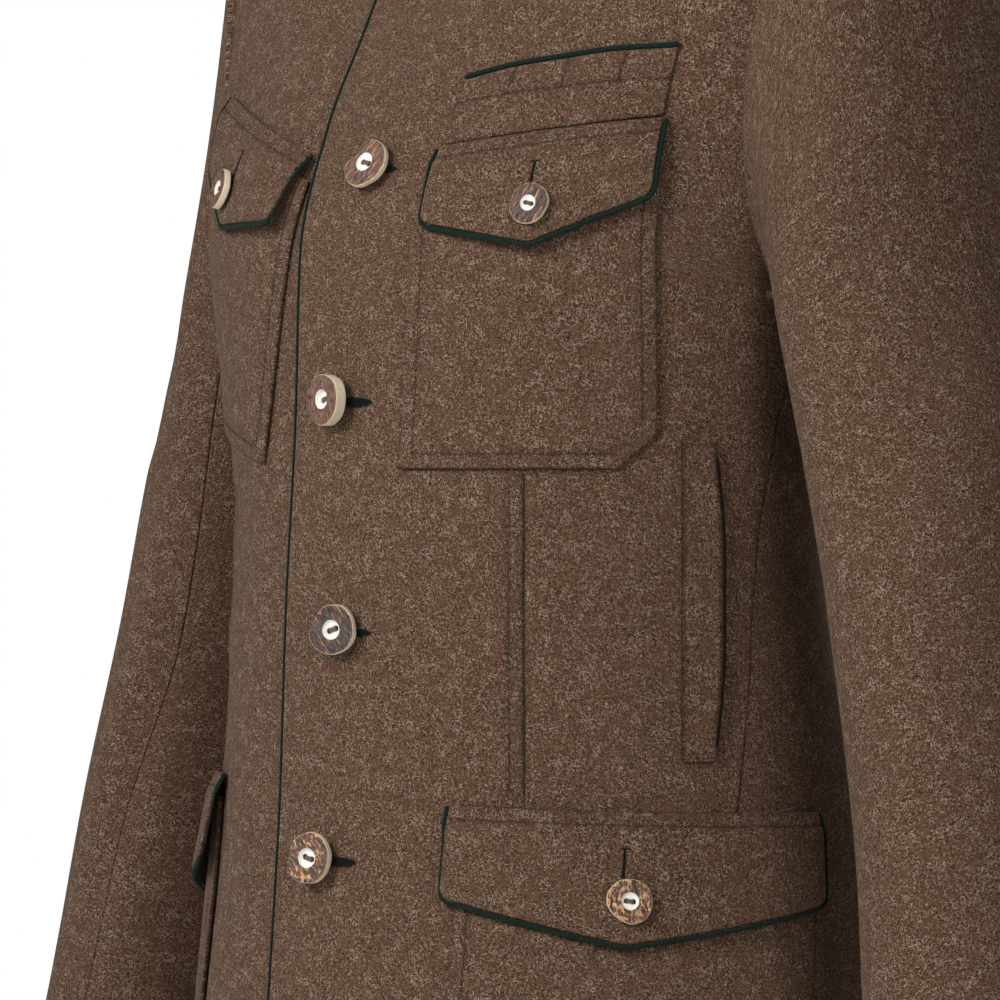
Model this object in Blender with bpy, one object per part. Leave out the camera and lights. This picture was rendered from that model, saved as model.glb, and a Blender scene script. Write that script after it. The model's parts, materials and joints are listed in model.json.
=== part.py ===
"""Tyrolean loden jacket, worn and standing open as a hollow garment.

Metres, +Z up. The garment faces -Y and the wearer's left is +X. The origin lies between the shoulders at the height of the nape.
"""

import bpy
import numpy as np

CLOTH = 0.0022  # thickness of the loden
SEAM = 0.0003  # gap between two pieces sewn edge to edge
REST = 0.0007  # gap under a piece that lies on another
SIDES = (("left", 1), ("right", -1))

for old in list(bpy.data.objects):
    bpy.data.objects.remove(old)

# The body of the jacket, one row for each level: half width, y of the widest place, depth in front of and behind the origin, squareness of the front and of the back.
BODY_COLUMNS = ("z", "half_width", "widest_y", "front", "rear", "front_square", "rear_square")
BODY = np.array([
    (-0.780, 0.191, 0.006, 0.1490, 0.150, 1.92, 2.50),
    (-0.700, 0.186, 0.006, 0.1460, 0.153, 1.92, 2.50),
    (-0.616, 0.179, 0.006, 0.1410, 0.153, 1.90, 2.50),
    (-0.520, 0.168, 0.006, 0.1340, 0.141, 1.88, 2.45),
    (-0.424, 0.160, 0.004, 0.1300, 0.122, 1.86, 2.25),
    (-0.340, 0.166, 0.002, 0.1240, 0.112, 1.90, 2.15),
    (-0.260, 0.180, 0.002, 0.1205, 0.119, 1.98, 2.20),
    (-0.200, 0.190, 0.006, 0.1030, 0.126, 2.08, 2.30),
    (-0.150, 0.199, 0.010, 0.0785, 0.124, 2.15, 2.35),
    (-0.100, 0.207, 0.014, 0.0560, 0.112, 2.20, 2.30),
    (-0.072, 0.209, 0.016, 0.0450, 0.102, 2.20, 2.25),
    (-0.056, 0.204, 0.018, 0.0385, 0.095, 2.20, 2.20),
    (-0.043, 0.191, 0.019, 0.0335, 0.088, 2.15, 2.15),
    (-0.030, 0.162, 0.020, 0.0280, 0.079, 2.10, 2.10),
    (-0.015, 0.119, 0.021, 0.0220, 0.069, 2.05, 2.05),
    (0.000, 0.078, 0.022, 0.0160, 0.060, 2.00, 2.00),
])

# The armhole, clockwise from the shoulder tip past the front: place round the sleeve, turn round the body, height.
ARMHOLE_COLUMNS = ("round", "turn", "z")
ARMHOLE = np.array([
    (0, 90.0, -0.0430),
    (18, 70.0, -0.0530),
    (40, 68.0, -0.0880),
    (80, 70.0, -0.1550),
    (110, 73.5, -0.2030),
    (135, 80.5, -0.2500),
    (155, 87.5, -0.2740),
    (180, 99.0, -0.2870),
    (220, 117.0, -0.2650),
    (265, 126.0, -0.1900),
    (315, 116.0, -0.0950),
    (342, 106.0, -0.0530),
    (360, 90.0, -0.0430),
])
ARMHOLE_FRONT, ARMHOLE_BACK = 180, 222  # where the two side seams run into the armhole

# The neckline from the centre front round to the centre back: turn, height.
NECKLINE = np.array([
    (0.0, -0.0800),
    (12.0, -0.0600),
    (19.0, -0.0380),
    (34.0, -0.0180),
    (60.0, -0.0035),
    (90.0, 0.0000),
    (120.0, -0.0005),
    (150.0, -0.0040),
    (180.0, -0.0060),
])

# The seam in front of the side panel and the one behind it: height, turn.
SIDE_SEAM_FRONT = np.array([(-0.780, 67.5), (-0.600, 73.7), (-0.514, 80.4), (-0.463, 85.0), (-0.376, 90.4), (-0.320, 95.8), (-0.287, 99.0)])
SIDE_SEAM_BACK = np.array([(-0.780, 127.0), (-0.560, 128.0), (-0.424, 127.0), (-0.330, 122.0), (-0.262, 117.8)])

HEM_FRONT, HEM_BACK = -0.775, -0.762
FRONT_EDGE = 0.0215  # how far the left front laps past the centre
UNDER_EDGE = 0.0300  # how far the right front runs under it
UNDERLAP_END = 0.060  # where the right front has come level with the left
STEP_CLEAR = 0.006  # how far it stays stepped in beyond the left edge
UNDER_GAP = 0.0008  # gap between the two fronts where they lap


def through(knots, values, at):
    """A smooth curve through values at knots that never overshoots them."""
    knots, values, at = (np.asarray(a, float) for a in (knots, values, at))
    step = np.diff(knots).reshape((-1,) + (1,) * (values.ndim - 1))
    rise = np.diff(values, axis=0) / step
    slope = np.zeros_like(values)
    slope[0], slope[-1] = rise[0], rise[-1]
    near, far = 2 * step[1:] + step[:-1], step[1:] + 2 * step[:-1]
    same = rise[:-1] * rise[1:] > 0
    first, second = np.where(same, rise[:-1], 1), np.where(same, rise[1:], 1)
    slope[1:-1] = np.where(same, (near + far) / (near / first + far / second), 0)
    at = np.clip(at, knots[0], knots[-1])
    i = np.clip(np.searchsorted(knots, at, side="right") - 1, 0, len(knots) - 2)
    width = knots[i + 1] - knots[i]
    t = ((at - knots[i]) / width).reshape(at.shape + (1,) * (values.ndim - 1))
    width = width.reshape(t.shape)
    return (
        (1 + 2 * t) * (1 - t) ** 2 * values[i]
        + t * (1 - t) ** 2 * width * slope[i]
        + t * t * (3 - 2 * t) * values[i + 1]
        - t * t * (1 - t) * width * slope[i + 1]
    )


def body(turn, z):
    """Points of the jacket's outer face: turn goes in degrees from the centre front (0) past the wearer's left side (90) to the centre back (180)."""
    turn, z = np.broadcast_arrays(np.asarray(turn, float), np.asarray(z, float))
    _, *columns = (through(BODY[:, 0], BODY[:, i], z) for i in range(len(BODY_COLUMNS)))
    half_width, widest_y, front, rear, front_square, rear_square = columns
    across, ahead = np.sin(np.radians(turn)), np.cos(np.radians(turn))
    square = np.where(ahead > 0, front_square, rear_square)
    depth = np.where(ahead > 0, -(front + widest_y), rear - widest_y)
    x = half_width * np.sign(across) * np.abs(across) ** (2 / square)
    return np.stack([x, widest_y + depth * np.abs(ahead) ** (2 / square), z], -1)


def unit(vectors):
    return vectors / np.linalg.norm(vectors, axis=-1, keepdims=True)


def facing(turn, z):
    """Outward normals of the jacket's face."""
    turn, z = np.broadcast_arrays(np.asarray(turn, float), np.asarray(z, float))
    return unit(np.cross(body(turn + 0.5, z) - body(turn - 0.5, z), body(turn, z + 0.001) - body(turn, z - 0.001)))


def along(turn, z, distance):
    """The turn that lies a short distance further round the body."""
    step = np.full(np.shape(turn), 0.1 * np.sign(distance))
    for _ in range(6):
        step = step * abs(distance) / np.linalg.norm(body(turn + step, z) - body(turn, z), axis=-1)
    return turn + step


def turn_at(distance, z):
    """The turn of each place that lies this far round from the centre front, towards the wearer's left."""
    distance, z = np.broadcast_arrays(np.asarray(distance, float), np.asarray(z, float))
    turns = np.linspace(-180, 180, 721)
    rings = body(turns, z.reshape(-1, 1))
    lengths = np.cumsum(np.linalg.norm(np.diff(rings, axis=1), axis=2), axis=1)
    lengths = np.hstack([np.zeros((len(lengths), 1)), lengths])
    lengths -= lengths[:, [360]]
    return np.array([np.interp(d, ring, turns) for d, ring in zip(distance.ravel(), lengths)]).reshape(distance.shape)


def on_body(distance, z, out):
    """Points a height out above the face, found by their distance round from the centre front."""
    turn = turn_at(distance, z)
    return body(turn, z) + np.asarray(out, float)[..., None] * facing(turn, z)


def under(distance):
    """How far the right front is stepped in, this far from the centre front towards the wearer's right."""
    step = np.clip((UNDERLAP_END - distance) / (UNDERLAP_END - FRONT_EDGE - STEP_CLEAR), 0, 1)
    return (CLOTH + UNDER_GAP) * step * step * (3 - 2 * step)


def add(name, points, faces):
    """A mesh object whose faces are turned to look outwards."""
    points = np.asarray(points, float).reshape(-1, 3)
    centred = points - points.mean(axis=0)
    volume = sum(
        np.dot(centred[face[0]], np.cross(centred[face[i]], centred[face[i + 1]]))
        for face in faces
        for i in range(1, len(face) - 1)
    )
    if volume < 0:
        faces = [face[::-1] for face in faces]
    mesh = bpy.data.meshes.new(name)
    mesh.from_pydata(points.tolist(), [], faces)
    bpy.context.scene.collection.objects.link(bpy.data.objects.new(name, mesh))


def sheet(name, outer, inner):
    """A closed piece of cloth between two grids of points."""
    rows, columns = outer.shape[:2]
    index = np.arange(rows * columns).reshape(rows, columns)
    under = index + index.size
    faces = []
    for i in range(rows - 1):
        for j in range(columns - 1):
            faces.append([index[i, j], index[i, j + 1], index[i + 1, j + 1], index[i + 1, j]])
            faces.append([under[i, j], under[i + 1, j], under[i + 1, j + 1], under[i, j + 1]])
    rim = np.concatenate([index[0, :-1], index[:-1, -1], index[-1, :0:-1], index[:0:-1, 0]])
    for a, b in zip(rim, np.roll(rim, -1)):
        faces.append([b, a, a + index.size, b + index.size])
    add(name, np.concatenate([outer.reshape(-1, 3), inner.reshape(-1, 3)]), [[int(v) for v in face] for face in faces])


def tube(name, rings):
    """A closed body through rings of points, with a flat cap at each end."""
    count, around = rings.shape[:2]
    index = np.arange(count * around).reshape(count, around)
    faces = [index[0, ::-1].tolist(), index[-1].tolist()]
    for i in range(count - 1):
        for j in range(around):
            k = (j + 1) % around
            faces.append([int(v) for v in (index[i, j], index[i, k], index[i + 1, k], index[i + 1, j])])
    add(name, rings, faces)


def cord(name, path, radius, up, sides=5):
    """A round cord along a path; up holds a vector across the path at each point."""
    forward = unit(np.gradient(path, axis=0))
    across = unit(np.cross(forward, up))
    up = np.cross(across, forward)
    angle = np.linspace(0, 2 * np.pi, sides, endpoint=False)[:, None]
    ring = np.cos(angle) * across[:, None] + np.sin(angle) * up[:, None]
    tube(name, path[:, None] + np.reshape(radius, (-1, 1, 1)) * ring)


def coons(left, right, bottom, top):
    """The grid between four edges given as rows of (turn, z); left and right run up, bottom and top run across."""
    u = np.linspace(0, 1, len(bottom))[None, :, None]
    v = np.linspace(0, 1, len(left))[:, None, None]
    corners = (1 - u) * (1 - v) * left[0] + u * (1 - v) * right[0] + (1 - u) * v * left[-1] + u * v * right[-1]
    return (1 - u) * left[:, None] + u * right[:, None] + (1 - v) * bottom[None] + v * top[None] - corners


def hem(turn):
    """The height of the hem, a little higher at the back."""
    return HEM_FRONT + (HEM_BACK - HEM_FRONT) * (1 - np.cos(np.radians(turn))) / 2


def armhole(place):
    """Turn and height of the armhole's edge at each place round the sleeve."""
    return through(ARMHOLE[:, 0], ARMHOLE[:, 1:], np.asarray(place, float) % 360.0001)


def panel_edge(seam, meets, stop, inward, rows):
    """One long edge of a front or back: up a side seam, round the armhole and up the shoulder seam, a little inside them."""
    seam_rows, hole_rows, top_rows = rows
    start = hem(seam[0, 1])
    z = np.linspace(start, armhole(meets)[1], seam_rows + 1)
    up_seam = np.stack([along(through(seam[:, 0], seam[:, 1], z), z, inward * SEAM / 2), z], -1)
    hole = armhole(np.linspace(meets, stop, hole_rows + 1))
    z = np.linspace(ARMHOLE[0, 2], 0, top_rows + 1)
    shoulder = np.stack([along(np.full(z.shape, 90.0), z, inward * SEAM / 2), z], -1)
    edge = np.concatenate([up_seam[:-1], hole[:-1], shoulder])
    edge[seam_rows] = up_seam[-1]
    return edge


# Fronts: the left laps over the right, which steps in under it.
SEAM_ROWS = 13
FRONT_ROWS = (SEAM_ROWS, 7, 3)  # up the side seam, round the armhole, up the shoulder
FRONT_HEIGHTS = np.array([(0, HEM_FRONT), (13, -0.262), (20, -0.110), (23, -0.080)])
FRONT_COLUMNS = 15
NECK_COLUMNS = (0, 0.15, 0.35, 0.6, 0.8, 1)  # how the columns share out the neckline's knots
for side, sign in SIDES:
    right = panel_edge(SIDE_SEAM_FRONT, ARMHOLE_FRONT, 0, -1, FRONT_ROWS)
    z = through(FRONT_HEIGHTS[:, 0], FRONT_HEIGHTS[:, 1], np.arange(len(right)))
    left = np.stack([turn_at(-FRONT_EDGE if sign > 0 else -UNDER_EDGE, z), z], -1)
    u = np.linspace(0, 1, FRONT_COLUMNS)
    across = left[0, 0] + (right[0, 0] - left[0, 0]) * u
    bottom = np.stack([across, hem(across)], -1)
    left[0], right[0] = bottom[0], bottom[-1]
    across = np.interp(u, NECK_COLUMNS, [left[-1, 0], *NECKLINE[1:5, 0], right[-1, 0]])
    top = np.stack([across, through(NECKLINE[:, 0], NECKLINE[:, 1], across)], -1)
    left[-1], right[-1] = top[0], top[-1]
    half_neck = across[across > 1]
    turn, z = np.moveaxis(coons(left, right, bottom, top), -1, 0)
    normals = facing(turn, z)
    outer = body(turn, z)
    if sign < 0:
        past = np.sign(turn) * np.linalg.norm(outer - body(0.0, z), axis=-1)
        outer = outer - under(past)[..., None] * normals
    mirror = np.array([sign, 1, 1])
    sheet("front_" + side, outer * mirror, (outer - CLOTH * normals) * mirror)

# Side panels, under each arm.
SIDE_COLUMNS = 7
for side, sign in SIDES:
    edges = []
    for seam, meets, inward in ((SIDE_SEAM_FRONT, ARMHOLE_FRONT, 1), (SIDE_SEAM_BACK, ARMHOLE_BACK, -1)):
        z = np.linspace(hem(seam[0, 1]), armhole(meets)[1], SEAM_ROWS + 1)
        edges.append(np.stack([along(through(seam[:, 0], seam[:, 1], z), z, inward * SEAM / 2), z], -1))
    across = np.linspace(edges[0][0, 0], edges[1][0, 0], SIDE_COLUMNS)
    bottom = np.stack([across, hem(across)], -1)
    top = armhole(np.linspace(ARMHOLE_FRONT, ARMHOLE_BACK, SIDE_COLUMNS))
    for edge, column in ((edges[0], 0), (edges[1], -1)):
        edge[0] = bottom[column]
        top[column] = edge[-1]
    turn, z = np.moveaxis(coons(edges[0], edges[1], bottom, top), -1, 0)
    mirror = np.array([sign, 1, 1])
    sheet("side_panel_" + side, body(turn, z) * mirror, (body(turn, z) - CLOTH * facing(turn, z)) * mirror)

# Back, in one piece from side seam to side seam.
BACK_ROWS = (SEAM_ROWS, 7, 3)
left = panel_edge(SIDE_SEAM_BACK, ARMHOLE_BACK, 360, 1, BACK_ROWS)
right = left * (-1, 1) + (360, 0)
u = np.linspace(0, 1, 19)
across = left[0, 0] + (right[0, 0] - left[0, 0]) * u
bottom = np.stack([across, hem(across)], -1)
across = left[-1, 0] + (right[-1, 0] - left[-1, 0]) * u
top = np.stack([across, through(NECKLINE[:, 0], NECKLINE[:, 1], 180 - abs(across - 180))], -1)
left[0], right[0] = bottom[0], bottom[-1]
left[-1], right[-1] = top[0], top[-1]
turn, z = np.moveaxis(coons(left, right, bottom, top), -1, 0)
sheet("back", body(turn, z), body(turn, z) - CLOTH * facing(turn, z))

# Collar: a plain stand round the neck, open at the centre front.
COLLAR_HEIGHT = 0.042
COLLAR_GAP = 0.0010
COLLAR_LEAN = 0.14  # how far it leans in towards the neck for each metre of height
turn = np.concatenate([half_neck[:-1], across, 360 - half_neck[-2::-1]])
round_neck = np.where(turn > 180, 360 - turn, turn)
z = through(NECKLINE[:, 0], NECKLINE[:, 1], round_neck)
base = body(turn, z)
run = unit(np.gradient(base, axis=0))
out = unit(np.cross(run, (0, 0, 1)))
inward = unit(np.cross(facing(turn, z), run))
base = base + COLLAR_GAP * inward
rise = np.linspace(0, COLLAR_HEIGHT, 4)[:, None, None]
outer = base[None] + rise * ((0, 0, 1) - COLLAR_LEAN * out)
sheet("collar", outer, outer - CLOTH * out)

# Sleeves, each in two pieces from the armhole to the cuff, hanging a little out and forward, the right one a little further out. One row for each ring: its centre, its half widths outwards, inwards and front to back, and how far it leans.
SLEEVE_COLUMNS = ("x", "y", "z", "half_out", "half_in", "half_deep", "lean")
SLEEVE = {
    "left": np.array([
        (0.2155, 0.0430, -0.300, 0.0500, 0.0385, 0.0695, 10),
        (0.2375, 0.0390, -0.370, 0.0520, 0.0450, 0.0650, 13),
        (0.2555, 0.0305, -0.450, 0.0470, 0.0440, 0.0570, 14),
        (0.2732, 0.0200, -0.530, 0.0445, 0.0435, 0.0510, 14),
        (0.2880, 0.0070, -0.600, 0.0430, 0.0430, 0.0480, 14),
        (0.3025, -0.0040, -0.665, 0.0410, 0.0410, 0.0460, 14),
    ]),
    "right": np.array([
        (0.2155, 0.0430, -0.300, 0.0500, 0.0385, 0.0695, 10),
        (0.2385, 0.0390, -0.370, 0.0530, 0.0450, 0.0650, 13),
        (0.2595, 0.0285, -0.450, 0.0480, 0.0440, 0.0570, 14),
        (0.2802, 0.0170, -0.530, 0.0455, 0.0435, 0.0510, 14),
        (0.2920, 0.0070, -0.600, 0.0430, 0.0430, 0.0480, 14),
        (0.3025, -0.0040, -0.665, 0.0410, 0.0410, 0.0460, 14),
    ]),
}
SLEEVE_REST = 0.0009  # gap between the body and the edge of the sleeve that stands on it
# How the cloth leaves the armhole: outwards over and under the arm, to the front before it, to the back behind it, up. The left shoulder is rounder and the right arm held a little further back.
CAP_START = {"left": (0.80, 0.30, 0.12, 1.00, -0.10), "right": (0.15, 0.15, -0.06, -0.06, -0.32)}
# The two seams of each sleeve: how far down, the place of the front seam and of the back seam. The arms turn differently.
SLEEVE_SEAMS = {
    "left": np.array([(0.0, 122, 250), (1.0, 124, 250), (1.40, 130, 250), (1.7, 130, 252), (2.0, 130, 254)]),
    "right": np.array([(0.0, 122, 250), (1.0, 114, 250), (1.40, 121, 250), (1.7, 108, 252), (2.0, 107, 254)]),
}
SLEEVE_SEAM_TURN = 0.16  # degrees that each piece keeps back from the seam
SLEEVE_TOP_HOLE = (-110, 122)  # places where the top piece starts and ends at the armhole
SLEEVE_FAR = {side: np.concatenate([[0], np.cumsum(np.linalg.norm(np.diff(rings[:, :3], axis=0), axis=1))]) for side, rings in SLEEVE.items()}


def sleeve_ring(side, place, down):
    """Points of a sleeve below its cap, drawn as the left one: place goes round from the outside (0) past the front (90), down is the distance from the first ring."""
    place = np.radians(place)
    row = through(SLEEVE_FAR[side], SLEEVE[side], down)
    outwards = np.where(np.cos(place) > 0, row[..., 3], row[..., 4]) * np.cos(place)
    lean = np.radians(row[..., 6])
    x, z = row[..., 0] + outwards * np.cos(lean), row[..., 2] + outwards * np.sin(lean)
    return np.stack([x, row[..., 1] - row[..., 5] * np.sin(place), z], -1)


def sleeve(side, place, down, lift=0.0):
    """Points of a sleeve, drawn as the left one: down is 0 at the armhole, 1 at the first ring and then counts on to 2 at the cuff."""
    place, down = np.broadcast_arrays(np.asarray(place, float), np.asarray(down, float))
    turn, z = np.moveaxis(armhole(place), -1, 0)
    start = body(turn, z) + (SLEEVE_REST + np.asarray(lift, float)[..., None]) * facing(turn, z)
    end = sleeve_ring(side, place, 0 * down)
    reach = np.linalg.norm(end - start, axis=-1, keepdims=True)
    over, underneath, ahead, behind, up = CAP_START[side]
    outwards = underneath + (over - underneath) * (1 + np.cos(np.radians(place))) / 2
    away = np.sin(np.radians(place))
    leave = reach * np.stack([outwards, -np.where(away > 0, ahead, behind) * away, up + 0 * place], -1)
    arrive = reach * unit(sleeve_ring(side, place, 0 * down + 0.01) - end)
    t = np.clip(down, 0, 1)[..., None]
    cap = (1 + 2 * t) * (1 - t) ** 2 * start + t * (1 - t) ** 2 * leave + t * t * (3 - 2 * t) * end - t * t * (1 - t) * arrive
    return np.where(down[..., None] > 1, sleeve_ring(side, place, np.clip(down - 1, 0, 1) * SLEEVE_FAR[side][-1]), cap)


def sleeve_facing(side, place, down):
    """Outward normals of a sleeve, drawn as the left one."""
    after, before = np.minimum(down + 0.01, 2), np.maximum(down - 0.01, 0)
    around = sleeve(side, place + 1, down) - sleeve(side, place - 1, down)
    return unit(np.cross(around, sleeve(side, place, after) - sleeve(side, place, before)))


down = np.concatenate([np.linspace(0, 1, 8), np.linspace(1, 2, 11)[1:]])[:, None]
# The top's columns start at the corners of the panels' armholes, so that its edge keeps clear of them all round.
corners = np.concatenate([np.linspace(ARMHOLE_BACK, 360, FRONT_ROWS[1] + 1)[:-1] - 360, np.linspace(0, ARMHOLE_FRONT, FRONT_ROWS[1] + 1)])
corners = corners[(corners > SLEEVE_TOP_HOLE[0]) & (corners < SLEEVE_TOP_HOLE[1])]
top_columns = np.interp([SLEEVE_TOP_HOLE[0], *corners, SLEEVE_TOP_HOLE[1]], SLEEVE_TOP_HOLE, (0, 1))
for side, sign in SIDES:
    seams = SLEEVE_SEAMS[side]
    front_seam, back_seam = np.moveaxis(through(seams[:, 0], seams[:, 1:], down), -1, 0)
    for name, first, last, columns in (
        ("sleeve_top_", back_seam - 360, front_seam, top_columns),
        ("sleeve_under_", front_seam, back_seam, np.linspace(0, 1, 8)),
    ):
        place = first + SLEEVE_SEAM_TURN + (last - first - 2 * SLEEVE_SEAM_TURN) * columns
        normals = sleeve_facing(side, place, down)
        turn, z = np.moveaxis(armhole(place[:1]), -1, 0)
        lift = CLOTH * np.clip((normals[:1] * facing(turn, z)).sum(-1), 0, 1)
        outer = sleeve(side, place, down, lift)
        mirror = np.array([sign, 1, 1])
        sheet(name + side, outer * mirror, (outer - CLOTH * normals) * mirror)

# Pockets. Each is drawn on the flat from the inner end of its flap's seam, x away from the centre front and y up, and then laid on the body; a turn sets the whole pocket askew.
POCKET_COLUMNS = ("distance", "z", "turn")
POCKETS = {
    "breast_left": (0.0612, -0.2140, 0),
    "breast_right": (0.0300, -0.2120, 12),
    "lower_left": (0.0824, -0.5143, 0),
    "lower_right": (0.0920, -0.5060, 0),
}
# Patch: x of its inner edge at top and bottom, x of its outer edge at bottom and top, y of its bottom, cut-off outer corner.
PATCHES = {
    "breast": (-0.0060, -0.0118, 0.1102, 0.1125, -0.148, 0.0175, 0.016),
    "lower": (0.0047, 0.0047, 0.1882, 0.1882, -0.205, 0.0220, 0.020),
}
# Flap: width, slope of its seam, depth at the sides, depth at the point, where the point comes along the seam, where its button sits below the seam.
FLAPS = {
    "breast": (0.1080, 0.107, 0.0360, 0.0515, 0.52, 0.0355),
    "lower": (0.1830, -0.030, 0.0430, 0.0610, 0.46, 0.0415),
}
# How far each flap stands off at its inner and its outer end, in degrees.
LIFTS = {"breast_left": (2, 6), "breast_right": (12, 1), "lower_left": (2, 3), "lower_right": (9, 2)}
PATCH_COLUMNS = {"breast": 8, "lower": 13}
PATCH_TOP = -0.012  # the patch starts this far below the flap's seam
FLAP_REST = 2 * REST + CLOTH
FLAP_RISE = 0.0105  # how far below the seam a flap has come out over the patch
FLAP_CORNER, CORNER_SHARE = 0.003, 0.05  # how much is cut off a flap's corners, and along how much of its half
CORNER_COLUMN = 0.025  # where a flap's points beside its two ends lie along the seam
PIPE = 0.0013  # radius of the green cord round a flap
PIPE_START = 0.001  # how far below the seam that cord starts
FLAP_BUTTONS = {"breast": (0.0098, 0.0042), "lower": (0.0110, 0.0046)}  # radius, thickness
FLAP_BUTTON_STAND = 0.0015  # thread between flap and button
SHANK, RIM_BEVEL, FACE_BEVEL = 0.0022, 0.0008, 0.0010  # radius of a button's thread shank, its bevels
HOLLOW_EDGE, HOLLOW_FLOOR = 0.42, 0.34  # how wide the hollow in a button's face is, as shares of its radius


def on_pocket(pocket, x, y, out):
    """Points on the body for a place on the flat pocket."""
    distance, z, turn = POCKETS[pocket]
    turn = np.radians(turn)
    x, y = x * np.cos(turn) - y * np.sin(turn), x * np.sin(turn) + y * np.cos(turn)
    if pocket.endswith("right"):
        return on_body(distance + x, z + y, out - under(distance + x)) * (-1, 1, 1)
    return on_body(distance + x, z + y, out)


def on_flap(pocket, across, drop, out):
    """Points of a flap: across runs 0 to 1 along its seam, drop is the distance below it."""
    width, slope, *_ = FLAPS[pocket.split("_")[0]]
    across, drop, out = np.broadcast_arrays(across, drop, out)
    inner, outer = LIFTS[pocket]
    lift = np.radians(outer + (inner - outer) * (1 - np.clip(across, 0, 1)) ** 3)
    x = across * width
    out = out - (REST + CLOTH) * np.clip(1 - drop / FLAP_RISE, 0, 1) + np.maximum(drop, 0) * np.sin(lift)
    return on_pocket(pocket, x, x * slope - drop * np.cos(lift), out)


def flap_depth(kind, across):
    """How deep a flap is at each place along its seam: a blunt point in the middle and a corner taken off at each end."""
    side_depth, point_depth, point_at = FLAPS[kind][2:5]
    from_end = np.minimum(across / point_at, (1 - across) / (1 - point_at))
    return side_depth + (point_depth - side_depth) * from_end - FLAP_CORNER * np.clip(1 - from_end / CORNER_SHARE, 0, 1)


def beside(outline, distance):
    """A flat line that runs this far to the right of another, corner for corner."""
    steps = unit(np.diff(outline, axis=0))
    sides = np.stack([-steps[:, 1], steps[:, 0]], -1)
    before, after = sides[[0, *range(len(sides))]], sides[[*range(len(sides)), -1]]
    return outline + distance * (before + after) / (1 + (before * after).sum(-1, keepdims=True))


def button(name, centre, normal, radius, thick, stand):
    """A thick disc with a hollow in its middle, standing on its thread."""
    side = unit(np.cross(normal, (0, 0, 1)))
    up = np.cross(side, normal)
    profile = np.array([
        (SHANK, 0),
        (SHANK, stand),
        (radius - RIM_BEVEL, stand),
        (radius, stand + FACE_BEVEL),
        (radius, stand + thick - RIM_BEVEL),
        (radius - FACE_BEVEL, stand + thick),
        (HOLLOW_EDGE * radius, stand + thick),
        (HOLLOW_FLOOR * radius, stand + thick - FACE_BEVEL),
    ])
    angle = np.linspace(0, 2 * np.pi, 14, endpoint=False)[:, None]
    ring = np.cos(angle) * side + np.sin(angle) * up
    tube(name, centre + profile[:, 0, None, None] * ring + profile[:, 1, None, None] * normal)


for pocket in POCKETS:
    kind, side = pocket.split("_")
    inner_top, inner_low, outer_low, outer_top, bottom, corner_wide, corner_high = PATCHES[kind]
    width, slope, side_depth, point_depth, point_at, button_drop = FLAPS[kind]
    cut = 1 - corner_wide / (outer_low - inner_low)
    u = np.concatenate([np.linspace(0, cut, PATCH_COLUMNS[kind]), [(cut + 1) / 2, 1]])
    low_x = inner_low + (outer_low - inner_low) * u
    top_x = inner_top + (outer_top - inner_top) * u
    low_y = bottom + corner_high * np.clip((u - cut) / (1 - cut), 0, 1)
    v = np.linspace(0, 1, 8)[:, None]
    x, y = low_x + (top_x - low_x) * v, low_y + (PATCH_TOP + top_x * slope - low_y) * v
    sheet(kind + "_pocket_" + side, on_pocket(pocket, x, y, REST + CLOTH), on_pocket(pocket, x, y, REST))

    to_point, from_point = np.linspace(0, point_at, 6)[1:], np.linspace(point_at, 1, 6)[1:-1]
    across = np.concatenate([[0, CORNER_COLUMN], to_point, from_point, [1 - CORNER_COLUMN, 1]])[None]
    drop = np.concatenate([0 * across, FLAP_RISE + (flap_depth(kind, across) - FLAP_RISE) * np.linspace(0, 1, 3)[:, None]])
    sheet(kind + "_flap_" + side, on_flap(pocket, across, drop, FLAP_REST + CLOTH), on_flap(pocket, across, drop, FLAP_REST))

    side_drop = np.array([PIPE_START, FLAP_RISE, (FLAP_RISE + flap_depth(kind, 0.0)) / 2, flap_depth(kind, 0.0)])
    low = across[0]
    outline = np.stack([
        width * np.concatenate([0 * side_drop[:-1], low, 0 * side_drop[:-1] + 1]),
        np.concatenate([side_drop[:-1], flap_depth(kind, low), side_drop[-2::-1]]),
    ], -1)
    path_across, path_drop = beside(outline, PIPE + SEAM).T / ((width,), (1,))
    middle = FLAP_REST + CLOTH / 2
    path = on_flap(pocket, path_across, path_drop, middle)
    cord(kind + "_flap_piping_" + side, path, PIPE, on_flap(pocket, path_across, path_drop, middle + PIPE) - path)

    top = FLAP_REST + CLOTH + SEAM
    centre = on_flap(pocket, point_at, button_drop, top)
    aside, below = on_flap(pocket, point_at + 0.02, button_drop, top), on_flap(pocket, point_at, button_drop + 0.002, top)
    normal = unit(np.cross(aside - centre, centre - below)) * (-1 if side == "right" else 1)
    button(kind + "_button_" + side, centre, normal, *FLAP_BUTTONS[kind], FLAP_BUTTON_STAND)

# Slanting welt pocket over the left breast flap: distance and height of its top edge, height of its bottom edge.
BREAST_WELT = np.array([
    (0.0630, -0.1835, -0.2120),
    (0.0881, -0.1785, -0.2085),
    (0.1144, -0.1755, -0.2055),
    (0.1419, -0.1725, -0.2030),
    (0.1690, -0.1712, -0.2010),
])
WELT_CLOTH = 0.0018
distance = np.linspace(BREAST_WELT[0, 0], BREAST_WELT[-1, 0], 10)
top_z, low_z = through(BREAST_WELT[:, 0], BREAST_WELT[:, 1:], distance).T
z = low_z + (top_z - low_z) * np.linspace(0, 1, 4)[:, None]
distance = np.broadcast_to(distance, z.shape)
sheet("breast_welt_left", on_body(distance, z, REST + WELT_CLOTH), on_body(distance, z, REST))
path = on_body(distance[-1], top_z + PIPE + SEAM, REST + PIPE)
cord("breast_welt_piping_left", path, PIPE, on_body(distance[-1], top_z + PIPE + SEAM, REST + 2 * PIPE) - path)

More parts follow.
